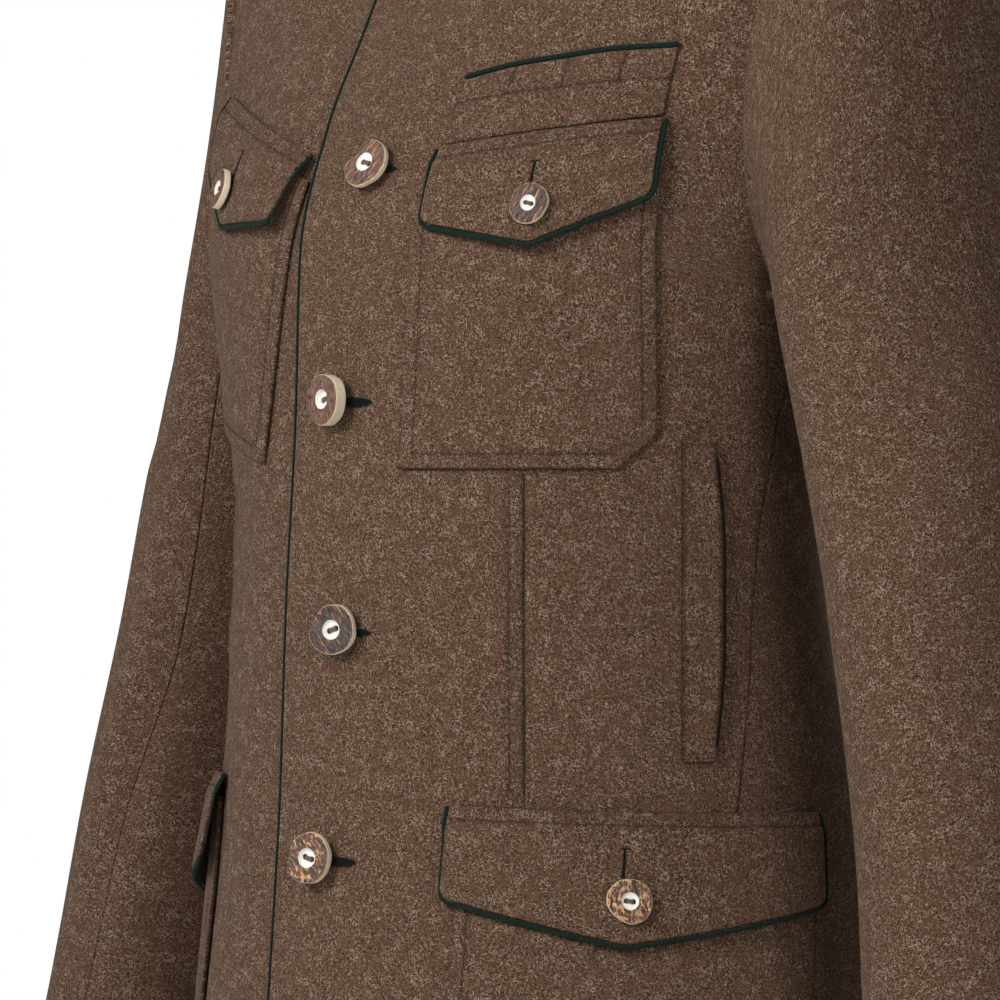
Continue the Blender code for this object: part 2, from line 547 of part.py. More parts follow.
# Upright hand pockets: height, distance of the inner and of the open outer edge of the welt.
HAND_WELT = np.array([(-0.4955, 0.1880, 0.2045), (-0.4560, 0.1862, 0.2058), (-0.4020, 0.1846, 0.2045), (-0.3490, 0.1830, 0.1995)])
z = np.linspace(HAND_WELT[0, 0], HAND_WELT[-1, 0], 9)[:, None]
inner_edge, outer_edge = np.moveaxis(through(HAND_WELT[:, 0], HAND_WELT[:, 1:], z), -1, 0)
distance = inner_edge + (outer_edge - inner_edge) * np.linspace(0, 1, 3)
for side, sign in SIDES:
    mirror = np.array([sign, 1, 1])
    sheet("hand_welt_" + side, on_body(distance, z, REST + WELT_CLOTH) * mirror, on_body(distance, z, REST) * mirror)

# Green cord on the left front's edge.
EDGE_PIPE = 0.0008
EDGE_PIPE_TOP, EDGE_PIPE_LOW = -0.0815, HEM_FRONT + 0.001
z = np.linspace(EDGE_PIPE_LOW, EDGE_PIPE_TOP, 32)
edge = np.full(z.shape, -FRONT_EDGE - SEAM - EDGE_PIPE)
path = on_body(edge, z, -CLOTH / 2)
cord("front_edge_piping", path, EDGE_PIPE, facing(turn_at(edge, z), z))

# Front buttons and the bound buttonholes behind them: height and distance of the button, far end of its buttonhole, how far the button tips towards the wearer's left.
FRONT_BUTTONS = np.array([
    (-0.1150, 0.0150, 0.0330, 4),
    (-0.2220, 0.0213, 0.0364, 6),
    (-0.3298, 0.0107, 0.0320, -6),
    (-0.4362, 0.0198, 0.0372, 12),
    (-0.5418, 0.0103, 0.0337, 15),
])
BUTTON_RADIUS, BUTTON_THICK = 0.0119, 0.0054
BUTTON_REST, BUTTON_STAND = 0.0022, 0.0014  # how far a shank's foot keeps off the cloth, and a level button off that
BINDING_HIGH = np.array([0.0008, 0.0022, 0.0024, 0.0022, 0.0008])  # half height of a buttonhole's binding along it
BINDING_START, BINDING_DROP, BINDING_THICK = 0.004, 0.001, 0.0004
BINDING_REST = REST + 0.00005
for number, (z, distance, far_end, tip) in enumerate(FRONT_BUTTONS, 1):
    turn = turn_at(distance, z)
    centre, normal = on_body(distance, z, BUTTON_REST), facing(turn, z)
    tip = np.radians(tip)
    side = unit(np.cross((0, 0, 1), normal))
    stand = BUTTON_RADIUS * abs(np.sin(tip)) + BUTTON_STAND
    button(f"front_button_{number}", centre, np.cos(tip) * normal + np.sin(tip) * side, BUTTON_RADIUS, BUTTON_THICK, stand)
    angle = np.radians(np.arange(0, 360, 60))
    place = np.linspace(BINDING_START, far_end, len(BINDING_HIGH))[:, None]
    height = z - BINDING_DROP + BINDING_HIGH[:, None] * np.cos(angle)
    tube(f"buttonhole_{number}", on_body(place, height, BINDING_REST + BINDING_THICK * np.sin(angle) + 0 * place))
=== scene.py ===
"""The looks of a tyrolean loden jacket, laid over its packed form.

Metres, +Z up; the front faces -Y and the wearer's left is +X.
"""

import json

import bpy
import numpy as np
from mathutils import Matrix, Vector

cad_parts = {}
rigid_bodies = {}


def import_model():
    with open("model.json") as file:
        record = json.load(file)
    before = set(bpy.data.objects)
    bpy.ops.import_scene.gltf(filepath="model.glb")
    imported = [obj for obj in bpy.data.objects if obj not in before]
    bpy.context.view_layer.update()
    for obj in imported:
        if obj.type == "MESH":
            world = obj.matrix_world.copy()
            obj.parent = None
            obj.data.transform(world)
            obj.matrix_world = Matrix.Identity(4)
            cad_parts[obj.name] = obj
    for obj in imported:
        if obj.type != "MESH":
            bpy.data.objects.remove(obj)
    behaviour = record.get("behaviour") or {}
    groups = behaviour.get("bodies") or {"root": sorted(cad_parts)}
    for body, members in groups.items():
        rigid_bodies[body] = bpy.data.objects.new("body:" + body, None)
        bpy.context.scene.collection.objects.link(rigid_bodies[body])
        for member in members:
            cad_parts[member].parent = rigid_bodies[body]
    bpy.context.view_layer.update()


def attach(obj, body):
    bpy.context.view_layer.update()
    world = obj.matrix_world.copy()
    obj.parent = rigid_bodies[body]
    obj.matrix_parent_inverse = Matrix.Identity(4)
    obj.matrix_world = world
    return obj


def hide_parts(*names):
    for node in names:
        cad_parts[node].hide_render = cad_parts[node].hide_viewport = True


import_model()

# Setting: a pale floor far below the hem, a white surround, and soft lights as in a studio for clothes.
# The camera stands level with the waist, turned round to the wearer's left.
CAMERA_TURN, CAMERA_AWAY, CAMERA_ASIDE = 48, 2.6, -0.0098
AIM_HEIGHT, CAMERA_LENS, CAMERA_SENSOR = -0.376, 194.7, 36
FLOOR_HEIGHT, FLOOR_SIDE = -1.50, 7.0
FLOOR_PAINT = {"Base Color": (0.86, 0.86, 0.85, 1), "Roughness": 0.9}
SURROUND_SEEN = {"Color": (1, 1, 1, 1), "Strength": 1.0}
SURROUND_LIGHT = {"Color": (1, 0.99, 0.97, 1), "Strength": 0.05}
# each light: turn round the jacket, elevation, distance, side, power, colour
LIGHTS = (
    ("key_light", 8, 27, 2.6, 1.0, 46, (1.0, 0.985, 0.96)),
    ("side_light", 66, 12, 2.8, 0.9, 19, (1.0, 0.98, 0.95)),
    ("left_light", -40, 10, 2.6, 1.2, 14, (0.98, 0.99, 1.0)),
    ("back_light", 215, 30, 3.0, 2.0, 60, (1.0, 0.99, 0.97)),
)


def stand(name, data, turn, rise, away, aside=0.0):
    """An object that looks at the waist, from a turn round the jacket, an elevation and a distance away."""
    turn, rise = np.radians(turn), np.radians(rise)
    towards = Vector((np.sin(turn) * np.cos(rise), -np.cos(turn) * np.cos(rise), np.sin(rise)))
    its_right = Vector((np.cos(turn), np.sin(turn), 0))
    item = bpy.data.objects.new(name, data)
    item.location = towards * away + its_right * aside + Vector((0, 0, AIM_HEIGHT))
    item.rotation_euler = (-towards).to_track_quat("-Z", "Y").to_euler()
    bpy.context.scene.collection.objects.link(item)
    return item


class Nodes:
    """Adds nodes to a world or a material. An input is set to its value, or linked where that is a socket."""

    def __init__(self, owner):
        owner.use_nodes = True
        self.tree = owner.node_tree

    def fill(self, node, inputs):
        """Set or link a node's inputs."""
        for key, value in inputs.items():
            if isinstance(value, bpy.types.NodeSocket):
                self.tree.links.new(value, node.inputs[key])
            else:
                node.inputs[key].default_value = value

    def add(self, kind, inputs, output=0, **settings):
        """A new node's output; settings are the node's own."""
        node = self.tree.nodes.new("ShaderNode" + kind)
        for key, value in settings.items():
            setattr(node, key, value)
        self.fill(node, inputs)
        return node.outputs[output] if node.outputs else node

    def mark(self, name, output="Vector"):
        """What the mesh says at each point under a name."""
        return self.add("Attribute", {}, output, attribute_name=name)

    def noise(self, place, detail, scale=1.0, distortion=0.0, **inputs):
        """Values of a noise at a place."""
        inputs = {"Vector": place, "Scale": scale, "Detail": detail, "Distortion": distortion, **inputs}
        return self.add("TexNoise", inputs, "Fac")

    def drawn(self, place, size, **inputs):
        """A place measured in boxes of a size, so that a noise is drawn out as they are."""
        return self.add("Mapping", {"Vector": place, "Scale": size, **inputs}, vector_type="TEXTURE")

    def step(self, value, low, high, kind="SMOOTHSTEP"):
        """A step from 0 where a value is low to 1 where it is high."""
        level = {"Value": value, "From Min": low, "From Max": high}
        return self.add("MapRange", level, interpolation_type=kind)

    def math(self, operation, *values):
        """Numbers put together by an operation."""
        return self.add("Math", dict(enumerate(values)), operation=operation)

    def mix(self, amount, under, over):
        """A colour laid over another by an amount from 0 to 1."""
        return self.add("Mix", {"Factor": amount, 6: under, 7: over}, 2, data_type="RGBA")

    def bump(self, height, strength, distance):
        """Normals that stand a height up from the surface."""
        return self.add("Bump", {"Height": height, "Strength": strength, "Distance": distance})


def material_of(name, draw=None, *colours, **shader_inputs):
    """A material whose shader has these inputs, and those that draw gives from its nodes."""
    material = bpy.data.materials.new(name)
    nodes = Nodes(material)
    inputs = {key.replace("_", " "): value for key, value in shader_inputs.items()}
    drawn = draw(nodes, *colours) if draw else {}
    nodes.fill(nodes.tree.nodes["Principled BSDF"], {**inputs, **drawn})
    return material


camera = stand("camera", bpy.data.cameras.new("camera"), CAMERA_TURN, 0, CAMERA_AWAY, CAMERA_ASIDE)
camera.data.lens, camera.data.sensor_width = CAMERA_LENS, CAMERA_SENSOR
bpy.context.scene.camera = camera
bpy.context.scene.view_settings.view_transform = "Standard"
for name, turn, rise, away, width, power, colour in LIGHTS:
    lamp = bpy.data.lights.new(name, "AREA")
    lamp.size, lamp.energy, lamp.color = width, power, colour
    stand(name, lamp, turn, rise, away)

# the camera sees the surround white, and the jacket is lit by much less of it
bpy.context.scene.world = bpy.data.worlds.new("white_surround")
surround = Nodes(bpy.context.scene.world)
surround.tree.nodes.clear()
by_camera = surround.add("LightPath", {}, "Is Camera Ray")
lit, seen = surround.add("Background", SURROUND_LIGHT), surround.add("Background", SURROUND_SEEN)
surround.add("OutputWorld", {"Surface": surround.add("MixShader", {0: by_camera, 1: lit, 2: seen})})

reach = FLOOR_SIDE / 2
floor_mesh = bpy.data.meshes.new("floor")
corners = ((-reach, -reach), (reach, -reach), (reach, reach), (-reach, reach))
floor_mesh.from_pydata([(x, y, FLOOR_HEIGHT) for x, y in corners], [], [(0, 1, 2, 3)])
floor_mesh.materials.append(material_of("pale floor", **FLOOR_PAINT))
floor = bpy.data.objects.new("floor", floor_mesh)
bpy.context.scene.collection.objects.link(floor)

# Fronts: two panels of thick brown loden, cut with a waist dart, the left lapping over the right.
# The whole jacket's form and the cloth itself are worked out here, as the fronts are the first to be cut.
# thickness of the cloth, gap beside it, gap under what lies on it
CLOTH, SEAM, REST = 0.0022, 0.0003, 0.0007
SIDES = {"left": 1, "right": -1}
# height, half width, y of the widest place, depth in front and behind, how square it is in front and behind
BODY = np.array([
    (-0.780, 0.191, 0.006, 0.1490, 0.150, 1.92, 2.50),
    (-0.700, 0.186, 0.006, 0.1460, 0.153, 1.92, 2.50),
    (-0.616, 0.179, 0.006, 0.1410, 0.153, 1.90, 2.50),
    (-0.520, 0.168, 0.006, 0.1340, 0.141, 1.88, 2.45),
    (-0.424, 0.160, 0.004, 0.1300, 0.122, 1.86, 2.25),
    (-0.340, 0.166, 0.002, 0.1240, 0.112, 1.90, 2.15),
    (-0.260, 0.180, 0.002, 0.1205, 0.119, 1.98, 2.20),
    (-0.200, 0.190, 0.006, 0.1030, 0.126, 2.08, 2.30),
    (-0.150, 0.199, 0.010, 0.0785, 0.124, 2.15, 2.35),
    (-0.100, 0.207, 0.014, 0.0560, 0.112, 2.20, 2.30),
    (-0.072, 0.209, 0.016, 0.0450, 0.102, 2.20, 2.25),
    (-0.056, 0.204, 0.018, 0.0385, 0.095, 2.20, 2.20),
    (-0.043, 0.191, 0.019, 0.0335, 0.088, 2.15, 2.15),
    (-0.030, 0.162, 0.020, 0.0280, 0.079, 2.10, 2.10),
    (-0.015, 0.119, 0.021, 0.0220, 0.069, 2.05, 2.05),
    (0.000, 0.078, 0.022, 0.0160, 0.060, 2.00, 2.00),
])
# the armhole: place round the sleeve, turn round the body, height
ARMHOLE = np.array([
    (0, 90.0, -0.0430), (18, 70.0, -0.0530), (40, 68.0, -0.0880), (80, 70.0, -0.1550), (110, 73.5, -0.2030),
    (135, 80.5, -0.2500), (155, 87.5, -0.2740), (180, 99.0, -0.2870), (220, 117.0, -0.2650),
    (265, 126.0, -0.1900), (315, 116.0, -0.0950), (342, 106.0, -0.0530), (360, 90.0, -0.0430),
])
ARMHOLE_FRONT, ARMHOLE_BACK, SHOULDER_TURN = 180, 222, 90.0
# the neckline from the centre front to the centre back: turn, height
NECKLINE = np.array([
    (0.0, -0.0800), (12.0, -0.0600), (19.0, -0.0380), (34.0, -0.0180), (60.0, -0.0035),
    (90.0, 0.0000), (120.0, -0.0005), (150.0, -0.0040), (180.0, -0.0060),
])
# the seams of the side panel: height, turn
SIDE_SEAM_FRONT = np.array([
    (-0.780, 67.5), (-0.600, 73.7), (-0.514, 80.4), (-0.463, 85.0), (-0.376, 90.4), (-0.320, 95.8),
    (-0.287, 99.0),
])
SIDE_SEAM_BACK = np.array([
    (-0.780, 127.0), (-0.560, 128.0), (-0.424, 127.0), (-0.330, 122.0), (-0.262, 117.8),
])
HEM_FRONT, HEM_BACK = -0.775, -0.762
# how far each front runs past the centre front, and how the right one steps in under the left
FRONT_EDGE, UNDER_EDGE = 0.0215, 0.0300
UNDERLAP_END, STEP_CLEAR, UNDER_GAP = 0.060, 0.006, 0.0008
# soft folds of the body: from (distance, height) to (distance, height), half width, height of the ridge,
# which is a trough where it is less than nothing
BODY_FOLDS = (
    (0.150, -0.150, 0.205, -0.262, 0.016, -0.0022), (0.185, -0.120, 0.222, -0.250, 0.012, 0.0016),
    (0.090, -0.395, 0.178, -0.372, 0.011, -0.0009), (0.128, -0.462, 0.218, -0.438, 0.012, 0.0010),
    (0.020, -0.375, 0.096, -0.402, 0.013, -0.0008), (0.010, -0.470, 0.088, -0.492, 0.016, 0.0009),
    (0.214, -0.330, 0.300, -0.352, 0.010, -0.0022), (0.222, -0.395, 0.312, -0.404, 0.009, -0.0018),
    (0.210, -0.455, 0.298, -0.446, 0.012, 0.0016), (0.262, -0.500, 0.322, -0.486, 0.010, -0.0015),
    (0.236, -0.560, 0.268, -0.735, 0.018, 0.0024), (0.300, -0.545, 0.322, -0.750, 0.020, -0.0026),
    (0.058, -0.560, 0.072, -0.740, 0.022, 0.0018), (0.010, -0.610, 0.018, -0.765, 0.020, -0.0014),
    (-0.075, -0.215, -0.150, -0.160, 0.014, -0.0014), (-0.060, -0.390, -0.165, -0.372, 0.012, -0.0016),
    (-0.070, -0.440, -0.190, -0.452, 0.014, 0.0014), (-0.205, -0.345, -0.300, -0.330, 0.011, -0.0022),
    (-0.215, -0.412, -0.310, -0.420, 0.010, -0.0019), (-0.200, -0.468, -0.300, -0.480, 0.013, 0.0018),
    (-0.080, -0.560, -0.096, -0.745, 0.020, 0.0020), (-0.240, -0.550, -0.262, -0.740, 0.020, 0.0024),
    (-0.312, -0.560, -0.330, -0.750, 0.018, -0.0024), (0.345, -0.130, 0.402, -0.285, 0.016, -0.0026),
    (0.395, -0.110, 0.430, -0.215, 0.018, 0.0020), (0.336, -0.372, 0.440, -0.388, 0.012, -0.0026),
    (0.350, -0.425, 0.455, -0.418, 0.010, -0.0020), (0.340, -0.480, 0.430, -0.500, 0.016, 0.0018),
    (0.380, -0.560, 0.398, -0.745, 0.022, 0.0026), (-0.350, -0.140, -0.398, -0.300, 0.018, -0.0024),
    (-0.400, -0.105, -0.436, -0.200, 0.015, 0.0018), (-0.340, -0.388, -0.452, -0.372, 0.011, -0.0024),
    (-0.352, -0.440, -0.436, -0.452, 0.013, -0.0018), (-0.372, -0.570, -0.384, -0.750, 0.020, 0.0024),
    (-0.425, -0.540, -0.440, -0.700, 0.018, -0.0020),
)
# how far a fold bows, as a share of its length
FOLD_BOW = 0.12
# the small steps, in degrees and metres, over which a surface's slope is measured
NEAR_TURN, NEAR = 0.5, 0.001


def joined(*columns):
    """Columns of numbers, brought to one shape, as points: the last axis holds one of each."""
    return np.stack(np.broadcast_arrays(*columns), -1)


def matched(*columns):
    """Arrays of numbers brought to one shape."""
    return np.broadcast_arrays(*(np.asarray(column, float) for column in columns))


def unit(vectors):
    """Each vector divided by its length."""
    return vectors / np.linalg.norm(vectors, axis=-1, keepdims=True)


def read(table, at):
    """The columns of a table at places along its first one.

    Each is a smooth curve that never overshoots the rows: cubic pieces whose slopes are harmonic means.
    """
    knots, values, at = table[:, 0], table[:, 1:], np.asarray(at, float)
    step = np.diff(knots)[:, None]
    rise = np.diff(values, axis=0) / step
    slope = np.zeros_like(values)
    slope[0], slope[-1] = rise[0], rise[-1]
    near, far = 2 * step[1:] + step[:-1], step[1:] + 2 * step[:-1]
    same = rise[:-1] * rise[1:] > 0
    first, second = np.where(same, rise[:-1], 1), np.where(same, rise[1:], 1)
    slope[1:-1] = np.where(same, (near + far) / (near / first + far / second), 0)
    at = np.clip(at, knots[0], knots[-1])
    i = np.clip(np.searchsorted(knots, at, side="right") - 1, 0, len(knots) - 2)
    width = (knots[i + 1] - knots[i])[..., None]
    t = (at - knots[i])[..., None] / width
    ends = (1 + 2 * t) * (1 - t) ** 2 * values[i] + t * t * (3 - 2 * t) * values[i + 1]
    slopes = t * (1 - t) ** 2 * width * slope[i] - t * t * (1 - t) * width * slope[i + 1]
    return np.moveaxis(ends + slopes, -1, 0)


def body(turn, z):
    """Points of the smooth body: at each height a superellipse, deeper in front, where turn is 0."""
    turn, z = matched(turn, z)
    half_width, widest_y, front, rear, front_square, rear_square = read(BODY, z)
    across, ahead = np.sin(np.radians(turn)), np.cos(np.radians(turn))
    square = np.where(ahead > 0, front_square, rear_square)
    depth = np.where(ahead > 0, -(front + widest_y), rear - widest_y)
    x = half_width * np.sign(across) * np.abs(across) ** (2 / square)
    return joined(x, widest_y + depth * np.abs(ahead) ** (2 / square), z)


def facing(turn, z):
    """Outward normals of the smooth body: the cross product of small steps round it and up it."""
    turn, z = matched(turn, z)
    round_it = body(turn + NEAR_TURN, z) - body(turn - NEAR_TURN, z)
    return unit(np.cross(round_it, body(turn, z + NEAR) - body(turn, z - NEAR)))


# distances round the body from the centre front, on a net of levels and turns, and that net read backwards
NET_LEVELS, NET_TURNS = np.linspace(-0.79, 0.002, 397), np.linspace(-180, 180, 1441)
NET_DISTANCES = np.linspace(-0.62, 0.62, 1241)
rings = body(NET_TURNS, NET_LEVELS[:, None])
net_distance = np.pad(np.linalg.norm(np.diff(rings, axis=1), axis=2).cumsum(axis=1), ((0, 0), (1, 0)))
net_distance -= net_distance[:, [NET_TURNS.size // 2]]
net_turn = np.array([np.interp(NET_DISTANCES, ring, NET_TURNS) for ring in net_distance])


def read_net(net, columns, column, z):
    """Values of a net between its four nearest knots: straight interpolation along both its sides."""
    column, z = matched(column, z)
    i = np.clip((z - NET_LEVELS[0]) / (NET_LEVELS[1] - NET_LEVELS[0]), 0, NET_LEVELS.size - 1.001)
    j = np.clip((column - columns[0]) / (columns[1] - columns[0]), 0, columns.size - 1.001)
    low, left = i.astype(int), j.astype(int)
    i, j = i - low, j - left
    lower = net[low, left] * (1 - j) + net[low, left + 1] * j
    upper = net[low + 1, left] * (1 - j) + net[low + 1, left + 1] * j
    return lower * (1 - i) + upper * i


def distance_of(turn, z):
    """How far round from the centre front a place lies, along the cloth."""
    return read_net(net_distance, NET_TURNS, (np.asarray(turn, float) + 180) % 360 - 180, z)


def turn_at(distance, z):
    """The turn of a place that lies this far round from the centre front."""
    return read_net(net_turn, NET_DISTANCES, distance, z)


def soft_folds(folds, across, up):
    """Sum of folds: each is a bell across its bowed line, and fades out at both ends."""
    height = np.zeros(np.broadcast(across, up).shape)
    for start_across, start_up, end_across, end_up, half_width, ridge in folds:
        run = np.array([end_across - start_across, end_up - start_up])
        right, above = across - start_across, up - start_up
        along = (right * run[0] + above * run[1]) / (run @ run)
        aside = (right * run[1] - above * run[0]) / np.hypot(*run)
        bow = FOLD_BOW * np.hypot(*run) * (along - along**2)
        fade = np.clip(along * (1 - along) * 4, 0, 1) ** 1.2
        height = height + ridge * fade * np.exp(-(((aside - bow) / half_width) ** 2))
    return height


def skin(turn, z, out=0.0, side=1):
    """Points of the worn jacket a height out above its folded face, drawn as on the wearer's left.

    Side -1 takes the right side's folds.
    """
    folds = soft_folds(BODY_FOLDS, side * distance_of(turn, z), z)
    return body(turn, z) + (folds + out)[..., None] * facing(turn, z)


def on_body(distance, z, out=0.0, side=1):
    """The same, found by the distance round from the centre front."""
    distance, z = matched(distance, z)
    return skin(turn_at(distance, z), z, out, side)


def under(distance):
    """How far the right front is stepped in to run under the left: a smooth step over a few centimetres."""
    step = np.clip((UNDERLAP_END - distance) / (UNDERLAP_END - FRONT_EDGE - STEP_CLEAR), 0, 1)
    return (CLOTH + UNDER_GAP) * step * step * (3 - 2 * step)


def spread(length, step, lines=(), near=(0.0004, 0.0009, 0.0016)):
    """Places from 0 to 1 along a length: even steps, with closer ones beside its ends and each line."""
    lines = np.array([0, *lines, length])
    even = np.linspace(0, length, round(length / step) + 1)[1:-1]
    even = even[np.abs(even[:, None] - lines).min(axis=1) > near[-1] + step / 3]
    close = (lines[:, None] + np.array([0, *near, *(-np.array(near))])).ravel()
    places = np.concatenate([even, close[(close >= 0) & (close <= length)]])
    return np.unique(np.round(places, 6)) / length


def hem(turn):
    """The height of the hem: a cosine round the body, a little higher at the back."""
    return HEM_FRONT + (HEM_BACK - HEM_FRONT) * (1 - np.cos(np.radians(turn))) / 2


def armhole(place):
    """Turn and height of the armhole's edge at each place round the sleeve."""
    return read(ARMHOLE, np.asarray(place, float) % 360.0001)


def side_seam(seam, meets):
    """Turns and heights up a side seam, from the hem to the place where it meets the armhole."""
    z = np.linspace(hem(seam[0, 1]), armhole(meets)[1], PANEL_ROWS[0] + 1)
    return joined(read(seam, z)[0], z)


def panel_edge(seam, meets, stop):
    """One long edge of a panel: up its side seam, round the armhole and up the shoulder seam."""
    hole = joined(*armhole(np.linspace(meets, stop, PANEL_ROWS[1] + 1)))
    shoulder = joined(SHOULDER_TURN, np.linspace(ARMHOLE[0, 2], 0, PANEL_ROWS[2] + 1))
    return np.concatenate([side_seam(seam, meets), hole[1:-1], shoulder])


def panel(left, right, top, u):
    """Turns and heights of a panel between its long edges, the hem and its top, with its columns at u.

    They are the two ruled nets, across and up, less the corners counted twice.
    """
    across = left[0, 0] + (right[0, 0] - left[0, 0]) * u
    bottom = joined(across, hem(across))
    left, right = (
        np.concatenate([bottom[[end]], edge[1:-1], top[[end]]]) for end, edge in ((0, left), (-1, right))
    )
    u = u[None, :, None]
    v = np.linspace(0, 1, len(left))[:, None, None]
    low = (1 - u) * (1 - v) * left[0] + u * (1 - v) * right[0]
    corners = low + (1 - u) * v * left[-1] + u * v * right[-1]
    ruled = (1 - u) * left[:, None] + u * right[:, None] + (1 - v) * bottom[None] + v * top[None]
    return np.moveaxis(ruled - corners, -1, 0)


def surface_normals(points):
    """Normals of a grid with rows going up and columns going round to the left: its steps' cross product."""
    return unit(np.cross(np.gradient(points, axis=1), np.gradient(points, axis=0)))


def along_cloth(points):
    """How far each point of a grid lies from its first column and from its first row, along the cloth."""
    across, up = (np.linalg.norm(np.diff(points, axis=axis), axis=2).cumsum(axis=axis) for axis in (1, 0))
    return np.pad(across, ((0, 0), (1, 0))), np.pad(up, ((1, 0), (0, 0)))


def run_along(path):
    """How far along a path each of its points lies."""
    return np.concatenate([[0], np.cumsum(np.linalg.norm(np.diff(path, axis=0), axis=1))])


def read_line(line, far, places):
    """Points of a line at places along it, straight between its own points, which lie this far along."""
    return joined(*(np.interp(places, far, column) for column in line.T))


def full_turn(count):
    """Angles evenly round a circle."""
    return np.linspace(0, 2 * np.pi, count, endpoint=False)


def around(across, up, turn):
    """Directions at turns from one way towards another: their sum by the turn's cosine and sine."""
    return np.cos(turn)[..., None] * across + np.sin(turn)[..., None] * up


def grid_faces(rows, columns, wrap=False):
    """Squares of a grid of points; wrap joins its last column to its first."""
    index = np.arange(rows * columns).reshape(rows, columns)
    if wrap:
        index = np.hstack([index, index[:, :1]])
    return joined(index[:-1, :-1], index[:-1, 1:], index[1:, 1:], index[1:, :-1]).reshape(-1, 4)


def tube_faces(rows, columns):
    """Squares of a tube of rings of points, with a fan of squares over each end."""
    fan = np.array([(0, i, i + 1, i + 2) for i in range(1, columns - 2, 2)])
    return np.concatenate([grid_faces(rows, columns, wrap=True), fan[:, ::-1], fan + (rows - 1) * columns])


def mesh_piece(name, points, faces, material, node=None, marks=()):
    """A smooth mesh from whole arrays, riding on the jacket; its faces are turned round if they look inwards.

    Marks are pairs of a name and a vector for each point, which its material reads.
    """
    points = np.reshape(points, (-1, 3))
    a, b, c, d = (points[corner] - points.mean(axis=0) for corner in faces.T)
    # six times the volume inside
    if (a * (np.cross(b, c) + np.cross(c, d))).sum() < 0:
        faces = faces[:, ::-1]
    mesh = bpy.data.meshes.new(name)
    mesh.vertices.add(len(points))
    mesh.vertices.foreach_set("co", points.ravel())
    mesh.loops.add(faces.size)
    mesh.loops.foreach_set("vertex_index", faces.ravel())
    mesh.polygons.add(len(faces))
    mesh.polygons.foreach_set("loop_start", np.arange(0, faces.size, 4))
    mesh.materials.append(material)
    for mark, vectors in marks:
        mesh.attributes.new(mark, "FLOAT_VECTOR", "POINT").data.foreach_set("vector", np.ravel(vectors))
    mesh.update(calc_edges=True)
    mesh.shade_smooth()
    piece = bpy.data.objects.new(name, mesh)
    bpy.context.scene.collection.objects.link(piece)
    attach(piece, "root")
    if node:
        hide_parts(node)
    return piece


def groove(aside, depth, half_width):
    """A seam's valley: deepest on its line and rising to nothing as an exponential on both sides."""
    return -depth * np.exp(-np.abs(aside) / half_width)


def shade(aside, amount, half_width=0.0007):
    """How much shade is painted on a seam or an edge: its amount on the line, fading as an exponential on
    both sides.
    """
    return amount * np.exp(-np.abs(aside) / half_width)


# how round an edge is, as a share of the thickness, and how far the pattern moves on from piece to piece
EDGE_ROUND, PATTERN_STEP = 0.46, 0.1


def cloth_piece(
    node, face, side=1, thick=CLOTH, normals=None, painted_shade=0.0,
    sides=(0, 0),
):
    """A piece of loden named after its node: the face, and the same points a thickness further in.

    Its edges are rolled, a quarter round on each side. The painted shade is given from 0 to 1 for each point
    of the face, darkening it in a seam, under an edge or in a slit, and sides gives the same for its first
    and last columns, where it is sewn to the next piece.
    """
    normals = surface_normals(face) if normals is None else normals
    across, up = along_cloth(face)
    from_last = across[:, -1:] - across
    radius = EDGE_ROUND * thick
    inside = np.maximum(radius - np.minimum.reduce([across, from_last, up, up[-1:] - up]), 0)
    roll = (radius - np.sqrt(radius**2 - inside**2))[..., None]
    walls = np.stack([face - roll * normals, face - (thick - roll) * normals]) * (side, 1, 1)
    # the wool's pattern is laid out from the middle column, its rows level, so that it isn't dragged aside
    middle, level = across[:, [face.shape[1] // 2]], up.mean(axis=1, keepdims=True)
    fleece = joined(across - middle, level, PATTERN_STEP * len(bpy.data.objects))
    # painted shade: the given amount, with more along the first and last columns where the piece is sewn
    deep = np.minimum(painted_shade + shade(across, sides[0]) + shade(from_last, sides[1]), 1)
    deep = joined(deep, deep, deep)

    index = np.arange(across.size).reshape(across.shape)
    rim = np.concatenate([index[0, :-1], index[:-1, -1], index[-1, :0:-1], index[:0:-1, 0]])
    next_rim = np.roll(rim, -1)
    band = joined(next_rim, rim, rim + index.size, next_rim + index.size)
    outside = grid_faces(*index.shape)
    faces = np.concatenate([outside, outside[:, ::-1] + index.size, band])
    marks = [("fleece", [fleece, fleece]), ("painted_shade", [deep, deep])]
    piece = mesh_piece(node + "_cloth", walls, faces, loden, node, marks=marks)


# a stitch: length, from the start of one to the next, thickness; and the rings of its spindle: place along
# it, thickness and height out of the cloth, as shares
STITCH = {"length": 0.0024, "pitch": 0.0032, "radius": 0.00026}
SPINDLE = np.array([(-1, 0.15, -0.5), (-0.75, 0.8, -0.1), (0, 1, 0.4), (0.75, 0.8, -0.1), (1, 0.15, -0.5)])


def stitch_row(lay, side, out, length, pitch, radius, crosswise=False):
    """Points of a row of stitches on the path that lay gives at a height, along it or across it.

    Each is a spindle of five rings of five that arches out of the cloth, which is the way the path rises.
    """
    path = lay(out) * (side, 1, 1)
    normals = unit(lay(out + NEAR) * (side, 1, 1) - path)
    far = run_along(path)
    count = max(1, round(far[-1] / pitch))
    middle = ((np.arange(count) + 0.5) * far[-1] / count)[:, None]
    place, thick, arch = SPINDLE.T
    reach = place * length / 2
    point = read_line(path, far, middle + (0 * reach if crosswise else reach))
    up = unit(read_line(normals, far, middle + 0 * reach))
    if crosswise:
        forward = read_line(path, far, middle + pitch / 2) - read_line(path, far, middle - pitch / 2)
        point = point + reach[:, None] * unit(np.cross(up, forward))
    across = unit(np.cross(np.gradient(point, axis=1), up))[:, :, None]
    up = up[:, :, None]
    ring = around(across, up, full_turn(len(SPINDLE)))
    return point[:, :, None] + radius * (thick[:, None, None] * ring + arch[:, None, None] * up)


